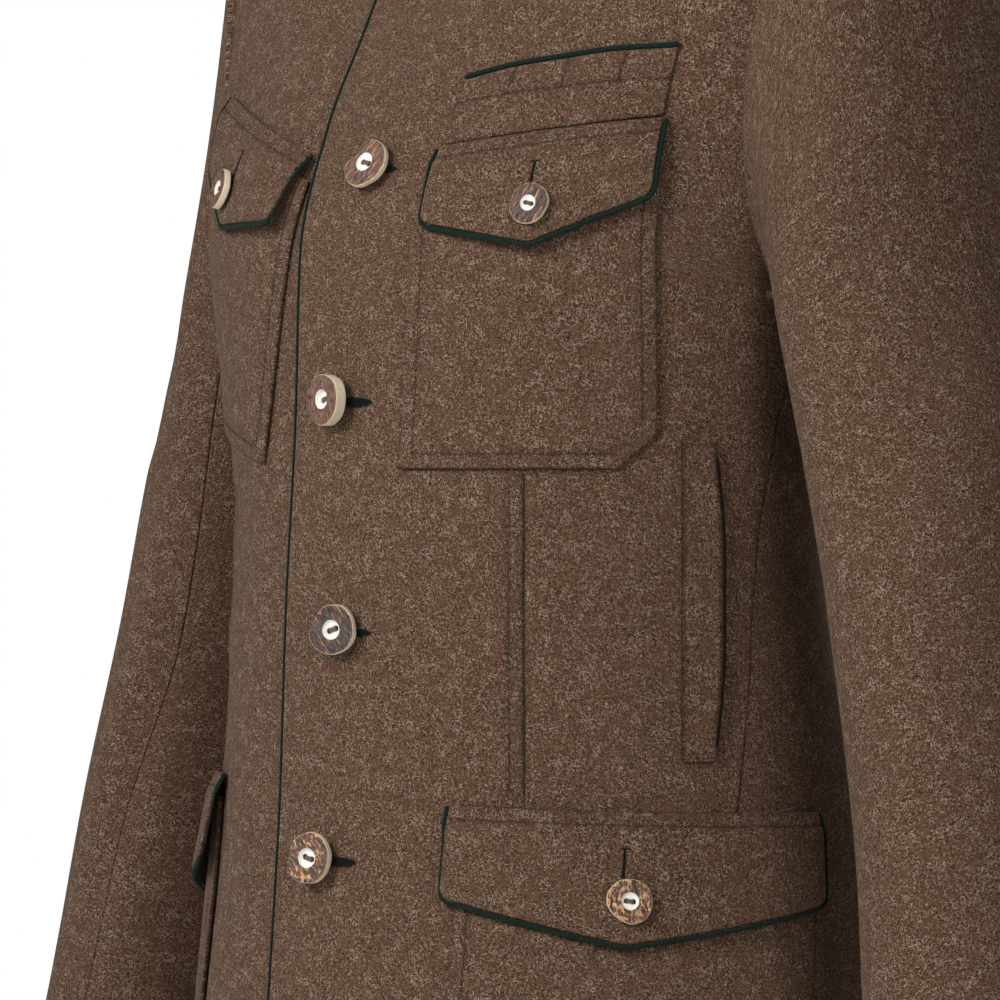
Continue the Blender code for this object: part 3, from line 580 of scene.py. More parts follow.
def body_row(distance, z, height, side=1):
    """A row of stitches on the worn body, at a height above its face."""
    return stitch_row(lambda out: on_body(distance, z, out, side), side, height, **STITCH)


def stitching(name, material, *rows):
    """One mesh of all the stitches of a piece, from rows of spindles."""
    spindles = np.concatenate(rows)
    faces = grid_faces(len(SPINDLE), len(SPINDLE), wrap=True)
    faces = faces + len(SPINDLE) ** 2 * np.arange(len(spindles))[:, None, None]
    return mesh_piece(name, spindles, faces.reshape(-1, 4), material)


# the wool's colours, and where its ground turns from one to the other as the nap rises
GROUND_LOW, GROUND_HIGH, GROUND_STEP = (0.078, 0.041, 0.026, 1), (0.170, 0.098, 0.065, 1), (0.36, 0.64)
RUST_WOOL, OLIVE_WOOL = (0.148, 0.056, 0.034, 1), (0.105, 0.074, 0.036, 1)
DARK_WOOL, PALE_WOOL = (0.026, 0.013, 0.008, 1), (0.390, 0.280, 0.210, 1)
# painted shade: the near black the wool is darkened to in seams, under edges and in slits
PAINTED_SHADE_WOOL = (0.009, 0.005, 0.003, 1)
# its fibres: thickness, length, levels of noise between which they come up, where their pattern starts,
# and the ways they lie, in radians
PALE_FIBRES = (0.00031, 0.0017, (0.75, 0.89), 3, (0.2, 0.9, 1.7, 2.5))
DARK_FIBRES = (0.00033, 0.0013, (0.66, 0.82), 11, (0.5, 1.3, 2.1, 2.9))
RUST_FLECKS = (0.0011, 0.0022, (0.60, 0.75), 24.3, (0.7,))
OLIVE_FLECKS = (0.0010, 0.0024, (0.60, 0.75), 29.7, (2.3,))
# how wide the drift of their levels is and how much it moves them, how wide the nap is, and the bumps of both
DRIFT_SIZE, DRIFT, NAP_SIZE, NAP_BUMP = 0.007, 0.16, 0.0004, (0.5, 0.00015)


def loden_cloth(nodes):
    """Milled wool, heathered: a brown ground flecked rust and olive, crossed by short dark and pale fibres.

    Fibres that lie one way are a noise drawn out along it and cut off below a level, which drifts a little
    from place to place. Shade is painted on seams, turned edges and slits: the wool is darkened there by a
    mark of the piece.
    """
    place = nodes.mark("fleece")
    wide = nodes.add("Mapping", {"Vector": place, "Scale": (1, 1, 30)})
    drift = nodes.noise(wide, 0.0, 1 / DRIFT_SIZE, Roughness=0.5)
    nap = nodes.noise(wide, 2.0, 1 / NAP_SIZE, Roughness=0.7)

    def fibres(thick, long, levels, start, turns):
        """Where fibres show: the highest of those that lie each way."""
        shown = []
        for turn in turns:
            at = start + turn
            size, where = (thick, long, 0.01), (at, -at, 0.02 * at)
            drawn = nodes.drawn(place, size, Location=where, Rotation=(0, 0, turn))
            level = nodes.math("MULTIPLY_ADD", drift, DRIFT, nodes.noise(drawn, 0.0, distortion=0.5))
            shown.append(nodes.step(level, *levels))
        while len(shown) > 1:
            shown[:2] = [nodes.math("MAXIMUM", *shown[:2])]
        return shown[0]

    pale = fibres(*PALE_FIBRES)
    colour = nodes.mix(nodes.step(nap, *GROUND_STEP), GROUND_LOW, GROUND_HIGH)
    colour = nodes.mix(fibres(*RUST_FLECKS), colour, RUST_WOOL)
    colour = nodes.mix(fibres(*OLIVE_FLECKS), colour, OLIVE_WOOL)
    colour = nodes.mix(pale, nodes.mix(fibres(*DARK_FIBRES), colour, DARK_WOOL), PALE_WOOL)
    # shade painted on the wool where the piece's mark says it lies in a seam, under an edge or in a slit
    colour = nodes.mix(nodes.mark("painted_shade", "Fac"), colour, PAINTED_SHADE_WOOL)
    return {"Base Color": colour, "Normal": nodes.bump(nodes.math("ADD", pale, nap), *NAP_BUMP)}


def streaked_thread(nodes, dark, light):
    """Sewing thread of one colour, streaked from dark to light by a fine noise."""
    streaks = nodes.noise(nodes.add("TexCoord", {}, "Object"), 1.0, 3200.0)
    return {"Base Color": nodes.mix(streaks, dark, light)}


loden = material_of(
    "heathered brown loden", loden_cloth, Roughness=0.95, Specular_IOR_Level=0.08,
    Sheen_Weight=0.08, Sheen_Roughness=0.5, Sheen_Tint=(0.92, 0.80, 0.68, 1),
)
brown_thread = (0.014, 0.008, 0.006, 1), (0.048, 0.029, 0.021, 1)
thread = material_of("dark brown thread", streaked_thread, *brown_thread, Roughness=0.8)
# the waist dart: height, distance from the centre front; its row of stitches runs beside it, nearer the front
DART = np.array([(-0.5122, 0.1167), (-0.4397, 0.1133), (-0.3646, 0.1109)])
DART_AT, DART_EASE, DART_END, DART_DEPTH, DART_SOFT = 0.1135, 0.060, 0.004, 0.0014, 0.0008
ROW_INSIDE, ROW_DEPTH, ROW_SOFT, ROW_SHORT = 0.0070, 0.00035, 0.0009, 0.003
# how much shade is painted in the dart, along its row of stitches, on the patches' edges and along seams
DART_DARK, ROW_DARK, EDGE_DARK, SEAM_DARK = 0.85, 0.50, 0.60, 0.60
# rows of a panel's long edge: up its side seam, round the armhole, up the shoulder seam
PANEL_ROWS = (120, 56, 16)
# the front edge: row, height; and how the neckline's turns are shared out across a front
FRONT_HEIGHTS = np.array([(0, HEM_FRONT), (120, -0.262), (176, -0.110), (192, -0.080)])
FRONT_STEP, FRONT_NECK = 0.0031, ((0, 0.15, 0.35, 0.6, 0.8, 1), (12, 19, 34, 60))


def dart_line(z):
    """Distance of the dart at each height, carried straight on past its ends."""
    slopes = np.diff(DART[:, 1]) / np.diff(DART[:, 0])
    below, above = np.minimum(z - DART[0, 0], 0), np.maximum(z - DART[-1, 0], 0)
    return read(DART, z)[0] + below * slopes[0] + above * slopes[-1]


for side_name, side in SIDES.items():
    right = panel_edge(SIDE_SEAM_FRONT, ARMHOLE_FRONT, 0)
    z = read(FRONT_HEIGHTS, np.arange(len(right)))[0]
    edge = FRONT_EDGE if side > 0 else UNDER_EDGE
    left = joined(turn_at(-edge, z), z)
    width = distance_of(*right[PANEL_ROWS[0] // 2]) + edge
    u = spread(width, FRONT_STEP, (DART_AT + edge - ROW_INSIDE, DART_AT + edge))
    shares, turns = FRONT_NECK
    across = np.interp(u, shares, [left[-1, 0], *turns, right[-1, 0]])
    if side > 0:
        front_neck = across[across > 1]
    turn, z = panel(left, right, joined(across, read(NECKLINE, across)[0]), u)
    # the columns are moved aside until one of them lies on the dart
    distance = distance_of(turn, z)
    column = int(np.abs(u * width - (DART_AT + edge)).argmin())
    first, last, at_dart = distance[:, :1], distance[:, -1:], distance[:, [column]]
    from_end = np.minimum(z - DART[0, 0], DART[-1, 0] - z)
    shift = ((dart_line(z) - distance) * np.clip((from_end + DART_EASE) / DART_EASE, 0, 1))[:, [column]]
    before, behind = (distance - first) / (at_dart - first), (last - distance) / (last - at_dart)
    distance = distance + shift * np.clip(np.where(np.arange(len(u)) < column, before, behind), 0, 1)
    within = np.clip((from_end + DART_END) / DART_END, 0, 1)
    aside = distance - dart_line(z)
    relief = groove(aside, DART_DEPTH, DART_SOFT) + groove(aside + ROW_INSIDE, ROW_DEPTH, ROW_SOFT)
    relief = relief * within - (0 if side > 0 else under(distance))
    face = skin(turn_at(distance, z), z, relief, side)
    # painted shade in the dart and along its row of stitches
    painted_shade = within * (shade(aside, DART_DARK) + shade(aside + ROW_INSIDE, ROW_DARK))
    z = np.linspace(DART[0, 0] + ROW_SHORT, DART[-1, 0] - ROW_SHORT, 80)
    row = body_row(dart_line(z) - ROW_INSIDE, z, -ROW_DEPTH, side)
    sewing = stitching("front_sewing_" + side_name, thread, row)
    # painted shade along its outer long edge, where it is sewn to the side panel and the back
    cloth_piece("front_" + side_name, face, side, painted_shade=painted_shade, sides=(0, SEAM_DARK))

# Side panels: a plain piece of loden under each arm, sewn to the front and to the back.
# Its upper edge is the lowest stretch of the armhole.
SIDE_WIDTH, SIDE_STEP = 0.135, 0.004
left, right = side_seam(SIDE_SEAM_FRONT, ARMHOLE_FRONT), side_seam(SIDE_SEAM_BACK, ARMHOLE_BACK)
u = spread(SIDE_WIDTH, SIDE_STEP)
top = joined(*armhole(ARMHOLE_FRONT + (ARMHOLE_BACK - ARMHOLE_FRONT) * u))
top[0], top[-1] = left[-1], right[-1]
turn, z = panel(left, right, top, u)
# painted shade along both seams of each side panel
for side_name, side in SIDES.items():
    cloth_piece("side_panel_" + side_name, skin(turn, z, 0.0, side), side, sides=(SEAM_DARK, SEAM_DARK))

# Back: one plain piece from side seam to side seam, without a seam down its middle.
# It meets the fronts along the shoulders, and its hem is a little higher than theirs.
BACK_WIDTH, BACK_STEP = 0.46, 0.0046
left = panel_edge(SIDE_SEAM_BACK, ARMHOLE_BACK, 360)
right = left * (-1, 1) + (360, 0)
u = spread(BACK_WIDTH, BACK_STEP)
back_neck = left[-1, 0] + (right[-1, 0] - left[-1, 0]) * u
top = joined(back_neck, read(NECKLINE, 180 - abs(back_neck - 180))[0])
turn, z = panel(left, right, top, u)
# painted shade along both seams of the back
cloth_piece("back", skin(turn, z), sides=(SEAM_DARK, SEAM_DARK))

# Collar: a plain stand of the same loden, sewn on round the neckline and open at the centre front.
# It leans in towards the neck, and its lower edge is turned under, past the edge of the body's cloth.
# height, gap to the body, lean, how far its lower edge is turned under, its rows and one below the top
COLLAR_HEIGHT, COLLAR_GAP, COLLAR_LEAN, COLLAR_TURNING = 0.042, 0.0002, 0.14, 0.0018
COLLAR_STEP, COLLAR_LINE = 0.004, 0.006
turn = np.concatenate([front_neck[:-1], back_neck, 360 - front_neck[-2::-1]])
z = read(NECKLINE, np.where(turn > 180, 360 - turn, turn))[0]
base = body(turn, z)
run = unit(np.gradient(base, axis=0))
out = unit(np.cross(run, (0, 0, 1)))
up = spread(COLLAR_HEIGHT, COLLAR_STEP, (COLLAR_HEIGHT - COLLAR_LINE,))[:, None, None]
rise = (COLLAR_HEIGHT + COLLAR_TURNING) * up - COLLAR_TURNING
face = base + COLLAR_GAP * unit(np.cross(facing(turn, z), run)) + rise * ((0, 0, 1) - COLLAR_LEAN * out)
cloth_piece("collar", face)

# Sleeves: each a top and an under piece sewn down the front and the back of the arm, set into the armhole.
# The cap leaves the armhole as a curve, and below it the sleeve hangs in leaning ovals with soft folds.
# for each, rings down the arm: middle, half widths outwards, inwards and front to back, lean in degrees;
# the right arm is held further out
SLEEVE = {
    1: np.array([
        (0.2155, 0.0430, -0.300, 0.0500, 0.0385, 0.0695, 10),
        (0.2375, 0.0390, -0.370, 0.0520, 0.0450, 0.0650, 13),
        (0.2555, 0.0305, -0.450, 0.0470, 0.0440, 0.0570, 14),
        (0.2732, 0.0200, -0.530, 0.0445, 0.0435, 0.0510, 14),
        (0.2880, 0.0070, -0.600, 0.0430, 0.0430, 0.0480, 14),
        (0.3025, -0.0040, -0.665, 0.0410, 0.0410, 0.0460, 14),
    ]),
    -1: np.array([
        (0.2155, 0.0430, -0.300, 0.0500, 0.0385, 0.0695, 10),
        (0.2385, 0.0390, -0.370, 0.0530, 0.0450, 0.0650, 13),
        (0.2595, 0.0285, -0.450, 0.0480, 0.0440, 0.0570, 14),
        (0.2802, 0.0170, -0.530, 0.0455, 0.0435, 0.0510, 14),
        (0.2920, 0.0070, -0.600, 0.0430, 0.0430, 0.0480, 14),
        (0.3025, -0.0040, -0.665, 0.0410, 0.0410, 0.0460, 14),
    ]),
}
# each ring is found by how far down the arm it lies
SLEEVE = {side: np.column_stack([run_along(rings[:, :3]), rings]) for side, rings in SLEEVE.items()}
SLEEVE_REST, SLEEVE_TURNING, SLEEVE_STEP = 0.0009, 0.0025, 0.0042
# how the cloth leaves the armhole: out over and under the arm, forwards before it, backwards behind it, up
CAP_START = {1: (0.80, 0.30, 0.12, 1.00, -0.10), -1: (0.15, 0.15, -0.06, -0.06, -0.32)}
# the two seams of each sleeve: down, front place, back place
SLEEVE_SEAMS = {
    1: np.array([(0.0, 122, 250), (1.0, 124, 250), (1.40, 130, 250), (1.7, 130, 252), (2.0, 130, 254)]),
    -1: np.array([(0.0, 122, 250), (1.0, 114, 250), (1.40, 121, 250), (1.7, 108, 252), (2.0, 107, 254)]),
}
# half the gap of its seams in degrees, widths of the top and the under piece, and on the flat: the sleeve's
# radius, how far down its armhole, first ring and cuff are, and from where its folds are free
SLEEVE_SEAM_TURN, TOP_WIDTH, UNDER_WIDTH = 0.04, 0.225, 0.150
SLEEVE_ROUND, SLEEVE_LENGTHS, SLEEVE_FREE = 0.055, (0.0, 0.26, 0.64), 0.03
# soft folds of a sleeve, as the body's: round is 0 on the outside of the arm and 0.086 at its front, and down
SLEEVE_FOLDS = {
    1: (
        (0.020, 0.030, 0.048, 0.150, 0.014, 0.0012), (0.060, 0.060, 0.080, 0.210, 0.012, -0.0014),
        (0.030, 0.180, 0.076, 0.300, 0.016, -0.0016), (0.004, 0.250, 0.040, 0.420, 0.018, 0.0016),
        (0.052, 0.330, 0.100, 0.372, 0.012, -0.0018), (0.046, 0.390, 0.098, 0.414, 0.012, 0.0014),
        (0.020, 0.440, 0.030, 0.600, 0.014, 0.0014), (0.120, 0.300, 0.180, 0.345, 0.011, -0.0022),
        (0.118, 0.365, 0.190, 0.392, 0.010, -0.0020), (0.240, 0.130, 0.262, 0.300, 0.014, -0.0020),
        (0.270, 0.300, 0.300, 0.470, 0.016, 0.0018), (0.210, 0.340, 0.285, 0.375, 0.011, -0.0020),
    ),
    -1: (
        (0.072, 0.080, 0.060, 0.300, 0.013, 0.0022), (0.094, 0.110, 0.084, 0.340, 0.010, -0.0020),
        (0.044, 0.200, 0.074, 0.420, 0.014, -0.0018), (0.092, 0.360, 0.066, 0.560, 0.011, 0.0024),
        (0.108, 0.380, 0.086, 0.620, 0.010, -0.0024), (0.020, 0.280, 0.054, 0.330, 0.012, -0.0016),
        (0.010, 0.440, 0.036, 0.610, 0.016, 0.0018), (0.130, 0.290, 0.190, 0.330, 0.011, -0.0022),
        (0.122, 0.350, 0.186, 0.368, 0.010, -0.0018), (0.246, 0.120, 0.268, 0.310, 0.015, -0.0022),
        (0.262, 0.330, 0.296, 0.490, 0.016, 0.0018), (0.214, 0.360, 0.280, 0.382, 0.011, -0.0020),
    ),
}
# small steps round a sleeve in degrees, down it in its own measure and along its rings
NEAR_PLACE, NEAR_DOWN = 1, 0.01


def sleeve_ring(side, place, far):
    """Points of a sleeve this far below its first ring, drawn as the left one: leaning ovals.

    Place is 0 on the outside of the arm and 90 at its front.
    """
    x, y, z, outer, inner, half_depth, lean = read(SLEEVE[side], far)
    place, lean = np.radians(place), np.radians(lean)
    outwards = np.where(np.cos(place) > 0, outer, inner) * np.cos(place)
    return joined(x + outwards * np.cos(lean), y - half_depth * np.sin(place), z + outwards * np.sin(lean))


def sleeve(side, place, down, lift=0.0):
    """Points of a sleeve, drawn as the left one; down is 0 at the armhole, 1 at the first ring, 2 at its end.

    The cap is a cubic curve, which leaves the body a lift further out.
    """
    place, down = matched(place, down)
    turn, z = armhole(place)
    start = body(turn, z) + (SLEEVE_REST + np.asarray(lift))[..., None] * facing(turn, z)
    end = sleeve_ring(side, place, 0 * down)
    reach = np.linalg.norm(end - start, axis=-1, keepdims=True)
    over, underneath, ahead, behind, up = CAP_START[side]
    outwards = underneath + (over - underneath) * (1 + np.cos(np.radians(place))) / 2
    away = np.sin(np.radians(place))
    leave = reach * joined(outwards, -np.where(away > 0, ahead, behind) * away, up)
    arrive = reach * unit(sleeve_ring(side, place, 0 * down + NEAR_DOWN) - end)
    t = np.clip(down, 0, 1)[..., None]
    cap = (1 + 2 * t) * (1 - t) ** 2 * start + t * (1 - t) ** 2 * leave
    cap = cap + t * t * (3 - 2 * t) * end - t * t * (1 - t) * arrive
    arm = sleeve_ring(side, place, np.clip(down - 1, 0, 1) * SLEEVE[side][-1, 0])
    return np.where(down[..., None] > 1, arm, cap)


def sleeve_facing(side, place, down):
    """Outward normals of the smooth sleeve: the cross product of small steps round it and along it."""
    after, before = np.minimum(down + NEAR_DOWN, 2), np.maximum(down - NEAR_DOWN, 0)
    round_it = sleeve(side, place + NEAR_PLACE, down) - sleeve(side, place - NEAR_PLACE, down)
    return unit(np.cross(round_it, sleeve(side, place, after) - sleeve(side, place, before)))


cap_down = spread(SLEEVE_LENGTHS[1], SLEEVE_STEP)
arm_down = 1 + spread(SLEEVE_LENGTHS[2] - SLEEVE_LENGTHS[1], SLEEVE_STEP)
# only the armhole and the cuff need close rows, so the ones beside the first ring are left out
down = np.concatenate([cap_down[:-4], arm_down[4:]])[:, None]
for side_name, side in SIDES.items():
    front_seam, back_seam = read(SLEEVE_SEAMS[side], down)
    for name, first, last, width in (
        ("sleeve_top_", back_seam - 360, front_seam, TOP_WIDTH),
        ("sleeve_under_", front_seam, back_seam, UNDER_WIDTH),
    ):
        round_it = spread(width, SLEEVE_STEP)
        place = first + SLEEVE_SEAM_TURN + (last - first - 2 * SLEEVE_SEAM_TURN) * round_it
        normals = sleeve_facing(side, place, down)
        body_normals = facing(*armhole(place[:1]))
        lift = CLOTH * np.clip((normals[:1] * body_normals).sum(-1), 0, 1)
        below = np.interp(down, (0, 1, 2), SLEEVE_LENGTHS) + 0 * place
        folds = soft_folds(SLEEVE_FOLDS[side], SLEEVE_ROUND * np.radians(place % 360), below)
        folds = folds * np.clip(below / SLEEVE_FREE, 0, 1)
        face = sleeve(side, place, down, lift) + folds[..., None] * normals
        # at the armhole its edge is turned in, down past the edge of the body's cloth
        depth = np.array([1, 0.5])[:, None] * (SLEEVE_REST + lift + SLEEVE_TURNING)
        face = np.concatenate([face[:1] - depth[..., None] * body_normals, face])
        cloth_piece(name + side_name, face, side, normals=-surface_normals(face))

# Patch pockets: four pieces of the same loden, with turned-in edges topstitched all round and a cut corner.
# Each is drawn on the flat from the inner end of its flap's seam, x away from the centre front and y up, and
# laid on the body.
# each pocket's anchor: distance, height, turn in degrees
POCKETS = {
    "breast_left": (0.0612, -0.2140, 0),
    "breast_right": (0.0300, -0.2120, 12),
    "lower_left": (0.0824, -0.5143, 0),
    "lower_right": (0.0920, -0.5060, 0),
}
# x of the inner edge at top and bottom, x of the outer edge at bottom and top, y of the bottom, width and
# height of the cut corner
PATCHES = {
    "breast": (-0.0060, -0.0118, 0.1102, 0.1125, -0.148, 0.0175, 0.016),
    "lower": (0.0047, 0.0047, 0.1882, 0.1882, -0.205, 0.0220, 0.020),
}
# width, slope of the seam, depth at the sides, depth at the point, where the point comes along the seam,
# drop of the button
FLAPS = {
    "breast": (0.1080, 0.107, 0.0360, 0.0515, 0.52, 0.0355),
    "lower": (0.1830, -0.030, 0.0430, 0.0610, 0.46, 0.0415),
}
PATCH_TOP, PATCH_STEP, PATCH_FULL, PATCH_FULL_SOFT = -0.012, 0.0032, 0.0005, 0.0035
# how much shade is painted on the inner edge, which turns towards the light
INNER_DARK = {"breast": 0.10, "lower": 0.70}


def on_pocket(pocket, x, y, out):
    """Places of the flat pocket laid on the worn body, first turned by the pocket's own turn."""
    distance, z, turn = POCKETS[pocket]
    cosine, sine = np.cos(np.radians(turn)), np.sin(np.radians(turn))
    distance, z = distance + x * cosine - y * sine, z + x * sine + y * cosine
    if pocket.endswith("right"):
        return on_body(distance, z, out - under(distance), -1)
    return on_body(distance, z, out)


def fullness(from_edge, full, soft):
    """How much higher a piece is than at its edge: it rises as an exponential and levels off."""
    return full * (1 - np.exp(-np.maximum(from_edge, 0) / soft))


def beside(outline, distance):
    """A flat line this far to the left of another: each corner moves along the bisector of its two sides."""
    steps = unit(np.diff(outline, axis=0))
    sides = joined(-steps[:, 1], steps[:, 0])
    before, after = sides[[0, *range(len(sides))]], sides[[*range(len(sides)), -1]]
    return outline + distance * (before + after) / (1 + (before * after).sum(-1, keepdims=True))


def finely(line, step=0.0012):
    """A line of points read again at small even steps along its length."""
    far = run_along(line)
    return read_line(line, far, np.linspace(0, far[-1], int(far[-1] / step) + 2))


for pocket in POCKETS:
    kind, side_name = pocket.split("_")
    side = SIDES[side_name]
    inner_top, inner_low, outer_low, outer_top, bottom, corner_wide, corner_high = PATCHES[kind]
    slope, width = FLAPS[kind][1], outer_low - inner_low
    cut = width - corner_wide
    u = spread(width, PATCH_STEP, (ROW_INSIDE, cut, width - ROW_INSIDE))
    v = spread(-bottom, PATCH_STEP, (ROW_INSIDE,))[:, None]
    low_x = inner_low + width * u
    low_y = bottom + corner_high * np.clip((u * width - cut) / corner_wide, 0, 1)
    top_x = inner_top + (outer_top - inner_top) * u
    x, y = low_x + (top_x - low_x) * v, low_y + (PATCH_TOP + top_x * slope - low_y) * v
    from_corner = (y - bottom) * corner_wide - (x - inner_low - cut) * corner_high
    from_low = np.minimum(y - bottom, from_corner / np.hypot(corner_wide, corner_high))
    from_low_or_outer = np.minimum(from_low, (1 - u) * width)
    from_edge = np.minimum(from_low_or_outer, u * width)
    from_row = from_edge - ROW_INSIDE
    relief = fullness(from_edge, PATCH_FULL, PATCH_FULL_SOFT) + groove(from_row, ROW_DEPTH, ROW_SOFT)
    # painted shade along the outer and bottom edges, the inner edge and the row of stitches
    painted_shade = shade(from_low_or_outer, EDGE_DARK) + shade(u * width, INNER_DARK[kind])
    painted_shade = painted_shade + shade(from_row, ROW_DARK)
    outline = np.array([
        (inner_top, PATCH_TOP + inner_top * slope), (inner_low, bottom), (inner_low + cut, bottom),
        (outer_low, bottom + corner_high), (outer_top, PATCH_TOP + outer_top * slope),
    ])
    line = finely(beside(outline, ROW_INSIDE)).T
    height = REST + CLOTH + PATCH_FULL - ROW_DEPTH
    row = stitch_row(lambda out: on_pocket(pocket, *line, out), side, height, **STITCH)
    sewing = stitching(f"{kind}_pocket_sewing_{side_name}", thread, row)
    face, resting = on_pocket(pocket, x, y, REST + CLOTH + relief), [f"front_{side_name}_cloth"]
    cloth_piece(f"{kind}_pocket_{side_name}", face, side, painted_shade=painted_shade)

# Pocket flaps: pointed flaps of loden sewn on above each pocket, folded down and topstitched, with a worked
# buttonhole. They stand off a little towards their ends, as thick loden does.
# height over the front, how far down it comes out over the patch, how round its corners and its point are
FLAP_REST, FLAP_RISE, FLAP_ROUND, FLAP_POINT_SOFT = 2 * REST + CLOTH, 0.0105, 0.0042, 0.07
FLAP_STEP, FLAP_TOP, FLAP_FULL, FLAP_FULL_SOFT = 0.0028, 0.0100, 0.0004, 0.0030
# how much shade is painted on a flap's seam and its row of stitches
FLAP_DARK = {"breast": (0.30, 0.45), "lower": (1.00, 0.58)}
# how far each flap stands off at its inner and its outer end, in degrees
LIFTS = {"breast_left": (2, 6), "breast_right": (12, 1), "lower_left": (2, 3), "lower_right": (9, 2)}
# the buttonhole in each flap: its place along the seam, and how far below the seam it starts
SLITS = {"breast": (0.503, 0.0160), "lower": (0.442, 0.0178)}
SLIT_DEPTH, SLIT_SOFT, SLIT_PAST, SLIT_END, SLIT_HALF = 0.0012, 0.00035, 0.004, 0.001, 0.00036
SATIN = {"length": 0.00062, "pitch": 0.00042, "radius": 0.00024, "crosswise": True}
TACK = {"length": 0.0011, "pitch": 0.00050, "radius": 0.00028, "crosswise": True}
SATIN_DEEP, TACK_HALF, TACK_ABOVE, FLAP_ROW_SHORT = 0.0001, 0.0022, 0.0003, 0.004


def on_flap(pocket, across, drop, out):
    """Places of a flap: across runs 0 to 1 along its seam and drop is the distance below it.

    It lies on the front at its seam, comes out over the patch in a straight ramp, and is tipped by its lift.
    """
    width, slope, *_ = FLAPS[pocket.split("_")[0]]
    across, drop, out = matched(across, drop, out)
    inner, outer = LIFTS[pocket]
    lift = np.radians(outer + (inner - outer) * (1 - np.clip(across, 0, 1)) ** 3)
    x = across * width
    out = out - (REST + CLOTH) * np.clip(1 - drop / FLAP_RISE, 0, 1) + np.maximum(drop, 0) * np.sin(lift)
    return on_pocket(pocket, x, x * slope - drop * np.cos(lift), out)


def flap_depth(kind, across):
    """How deep a flap is along its seam: two straight sides meeting in a softened point.

    A quarter round is taken off at each corner.
    """
    width, _, side_depth, point_depth, point_at, _ = FLAPS[kind]
    rising, falling = across / point_at, (1 - across) / (1 - point_at)
    mix = np.clip(0.5 + 0.5 * (falling - rising) / FLAP_POINT_SOFT, 0, 1)
    from_end = falling + (rising - falling) * mix - FLAP_POINT_SOFT * mix * (1 - mix)
    short = FLAP_ROUND - np.clip(width * np.minimum(across, 1 - across), 0, FLAP_ROUND)
    return side_depth + (point_depth - side_depth) * from_end - FLAP_ROUND + np.sqrt(FLAP_ROUND**2 - short**2)


def flap_row(pocket, across, drop, deep, stitch):
    """A row of stitches at places of a flap, this deep in its face."""
    side, height = SIDES[pocket.split("_")[1]], FLAP_REST + CLOTH + FLAP_FULL - deep
    return stitch_row(lambda out: on_flap(pocket, across, drop, out), side, height, **stitch)


slit_thread = (0.002, 0.002, 0.002, 1), (0.009, 0.008, 0.007, 1)
black_thread = material_of("black thread", streaked_thread, *slit_thread, Roughness=0.8)
flap_columns = {}
for pocket in POCKETS:
    kind, side_name = pocket.split("_")
    side = SIDES[side_name]
    width, slope, side_depth, point_depth, point_at, button_drop = FLAPS[kind]
    slit_at, slit_top = SLITS[kind]
    quarter = FLAP_ROUND * (1 - np.cos(np.linspace(0, np.pi / 2, 10)))
    between = width - 2 * FLAP_ROUND
    straight = FLAP_ROUND + between * spread(between, FLAP_STEP, (slit_at * width - FLAP_ROUND,))
    x = np.concatenate([quarter[:-1], straight, width - quarter[-2::-1]])
    flap_columns[kind] = across = x / width
    depth = flap_depth(kind, across)
    high = FLAP_TOP * spread(FLAP_TOP, FLAP_STEP, (ROW_INSIDE,))[:, None] + 0 * x
    low = FLAP_TOP + (depth - FLAP_TOP) * spread(point_depth - FLAP_TOP, FLAP_STEP / 2)[1:, None]
    drop = np.concatenate([high, low])[::-1]
    from_edge = np.minimum(np.minimum(x, width - x), depth - drop)
    from_slit_end = np.minimum(drop - slit_top, button_drop + SLIT_PAST - drop)
    beside_slit, within = x - slit_at * width, np.clip(from_slit_end / SLIT_END, 0, 1)
    from_row = drop - ROW_INSIDE
    relief = fullness(from_edge, FLAP_FULL, FLAP_FULL_SOFT) + groove(from_row, ROW_DEPTH, ROW_SOFT)
    relief = relief + groove(beside_slit, SLIT_DEPTH, SLIT_SOFT) * within
    seam_dark, row_dark = FLAP_DARK[kind]
    # painted shade along the seam, the row of stitches and in the buttonhole's slit
    painted_shade = shade(drop, seam_dark) + shade(from_row, row_dark) + shade(beside_slit, within, SLIT_SOFT)
    face = on_flap(pocket, across, drop, FLAP_REST + CLOTH + relief)

    along_seam = np.linspace(FLAP_ROW_SHORT, width - FLAP_ROW_SHORT, 160) / width
    down_slit = np.linspace(slit_top, button_drop, 30)
    across_slit = slit_at + np.linspace(-TACK_HALF, TACK_HALF, 12) / width
    lips = (slit_at + aside / width for aside in (-SLIT_HALF, SLIT_HALF))
    topstitch = flap_row(pocket, along_seam, ROW_INSIDE, ROW_DEPTH, STITCH)
    worked = [flap_row(pocket, lip, down_slit, SATIN_DEEP, SATIN) for lip in lips]
    worked.append(flap_row(pocket, across_slit, slit_top - TACK_ABOVE, 0, TACK))
    sewing = [
        stitching(f"{kind}_flap_sewing_{side_name}", thread, topstitch),
        stitching(f"{kind}_flap_slit_{side_name}", black_thread, *worked),
    ]
    resting = [f"{kind}_pocket_{side_name}_cloth"]
    cloth_piece(f"{kind}_flap_{side_name}", face, side, painted_shade=painted_shade)

# Breast welt: a slanting strip of thinner loden on the left breast.
# A row of stitches runs along it, and three short seams cross its upper part.
# distance, height of its top edge, height of its bottom edge
BREAST_WELT = np.array([
    (0.0630, -0.1835, -0.2133), (0.0881, -0.1785, -0.2106), (0.1144, -0.1755, -0.2078),
    (0.1419, -0.1725, -0.2049), (0.1690, -0.1712, -0.2020),
])
WELT_CLOTH, WELT_STEP, WELT_SOFT = 0.0018, 0.0026, 0.0008
# its row of stitches: distance, height
WELT_ROW = np.array([
    (0.0640, -0.1945), (0.0884, -0.1911), (0.1186, -0.1885), (0.1434, -0.1861), (0.1680, -0.1851),
])
# the three short seams across it: distance at their lower and upper ends
WELT_SEAMS = ((0.0881, 0.0916), (0.1167, 0.1183), (0.1435, 0.1457))
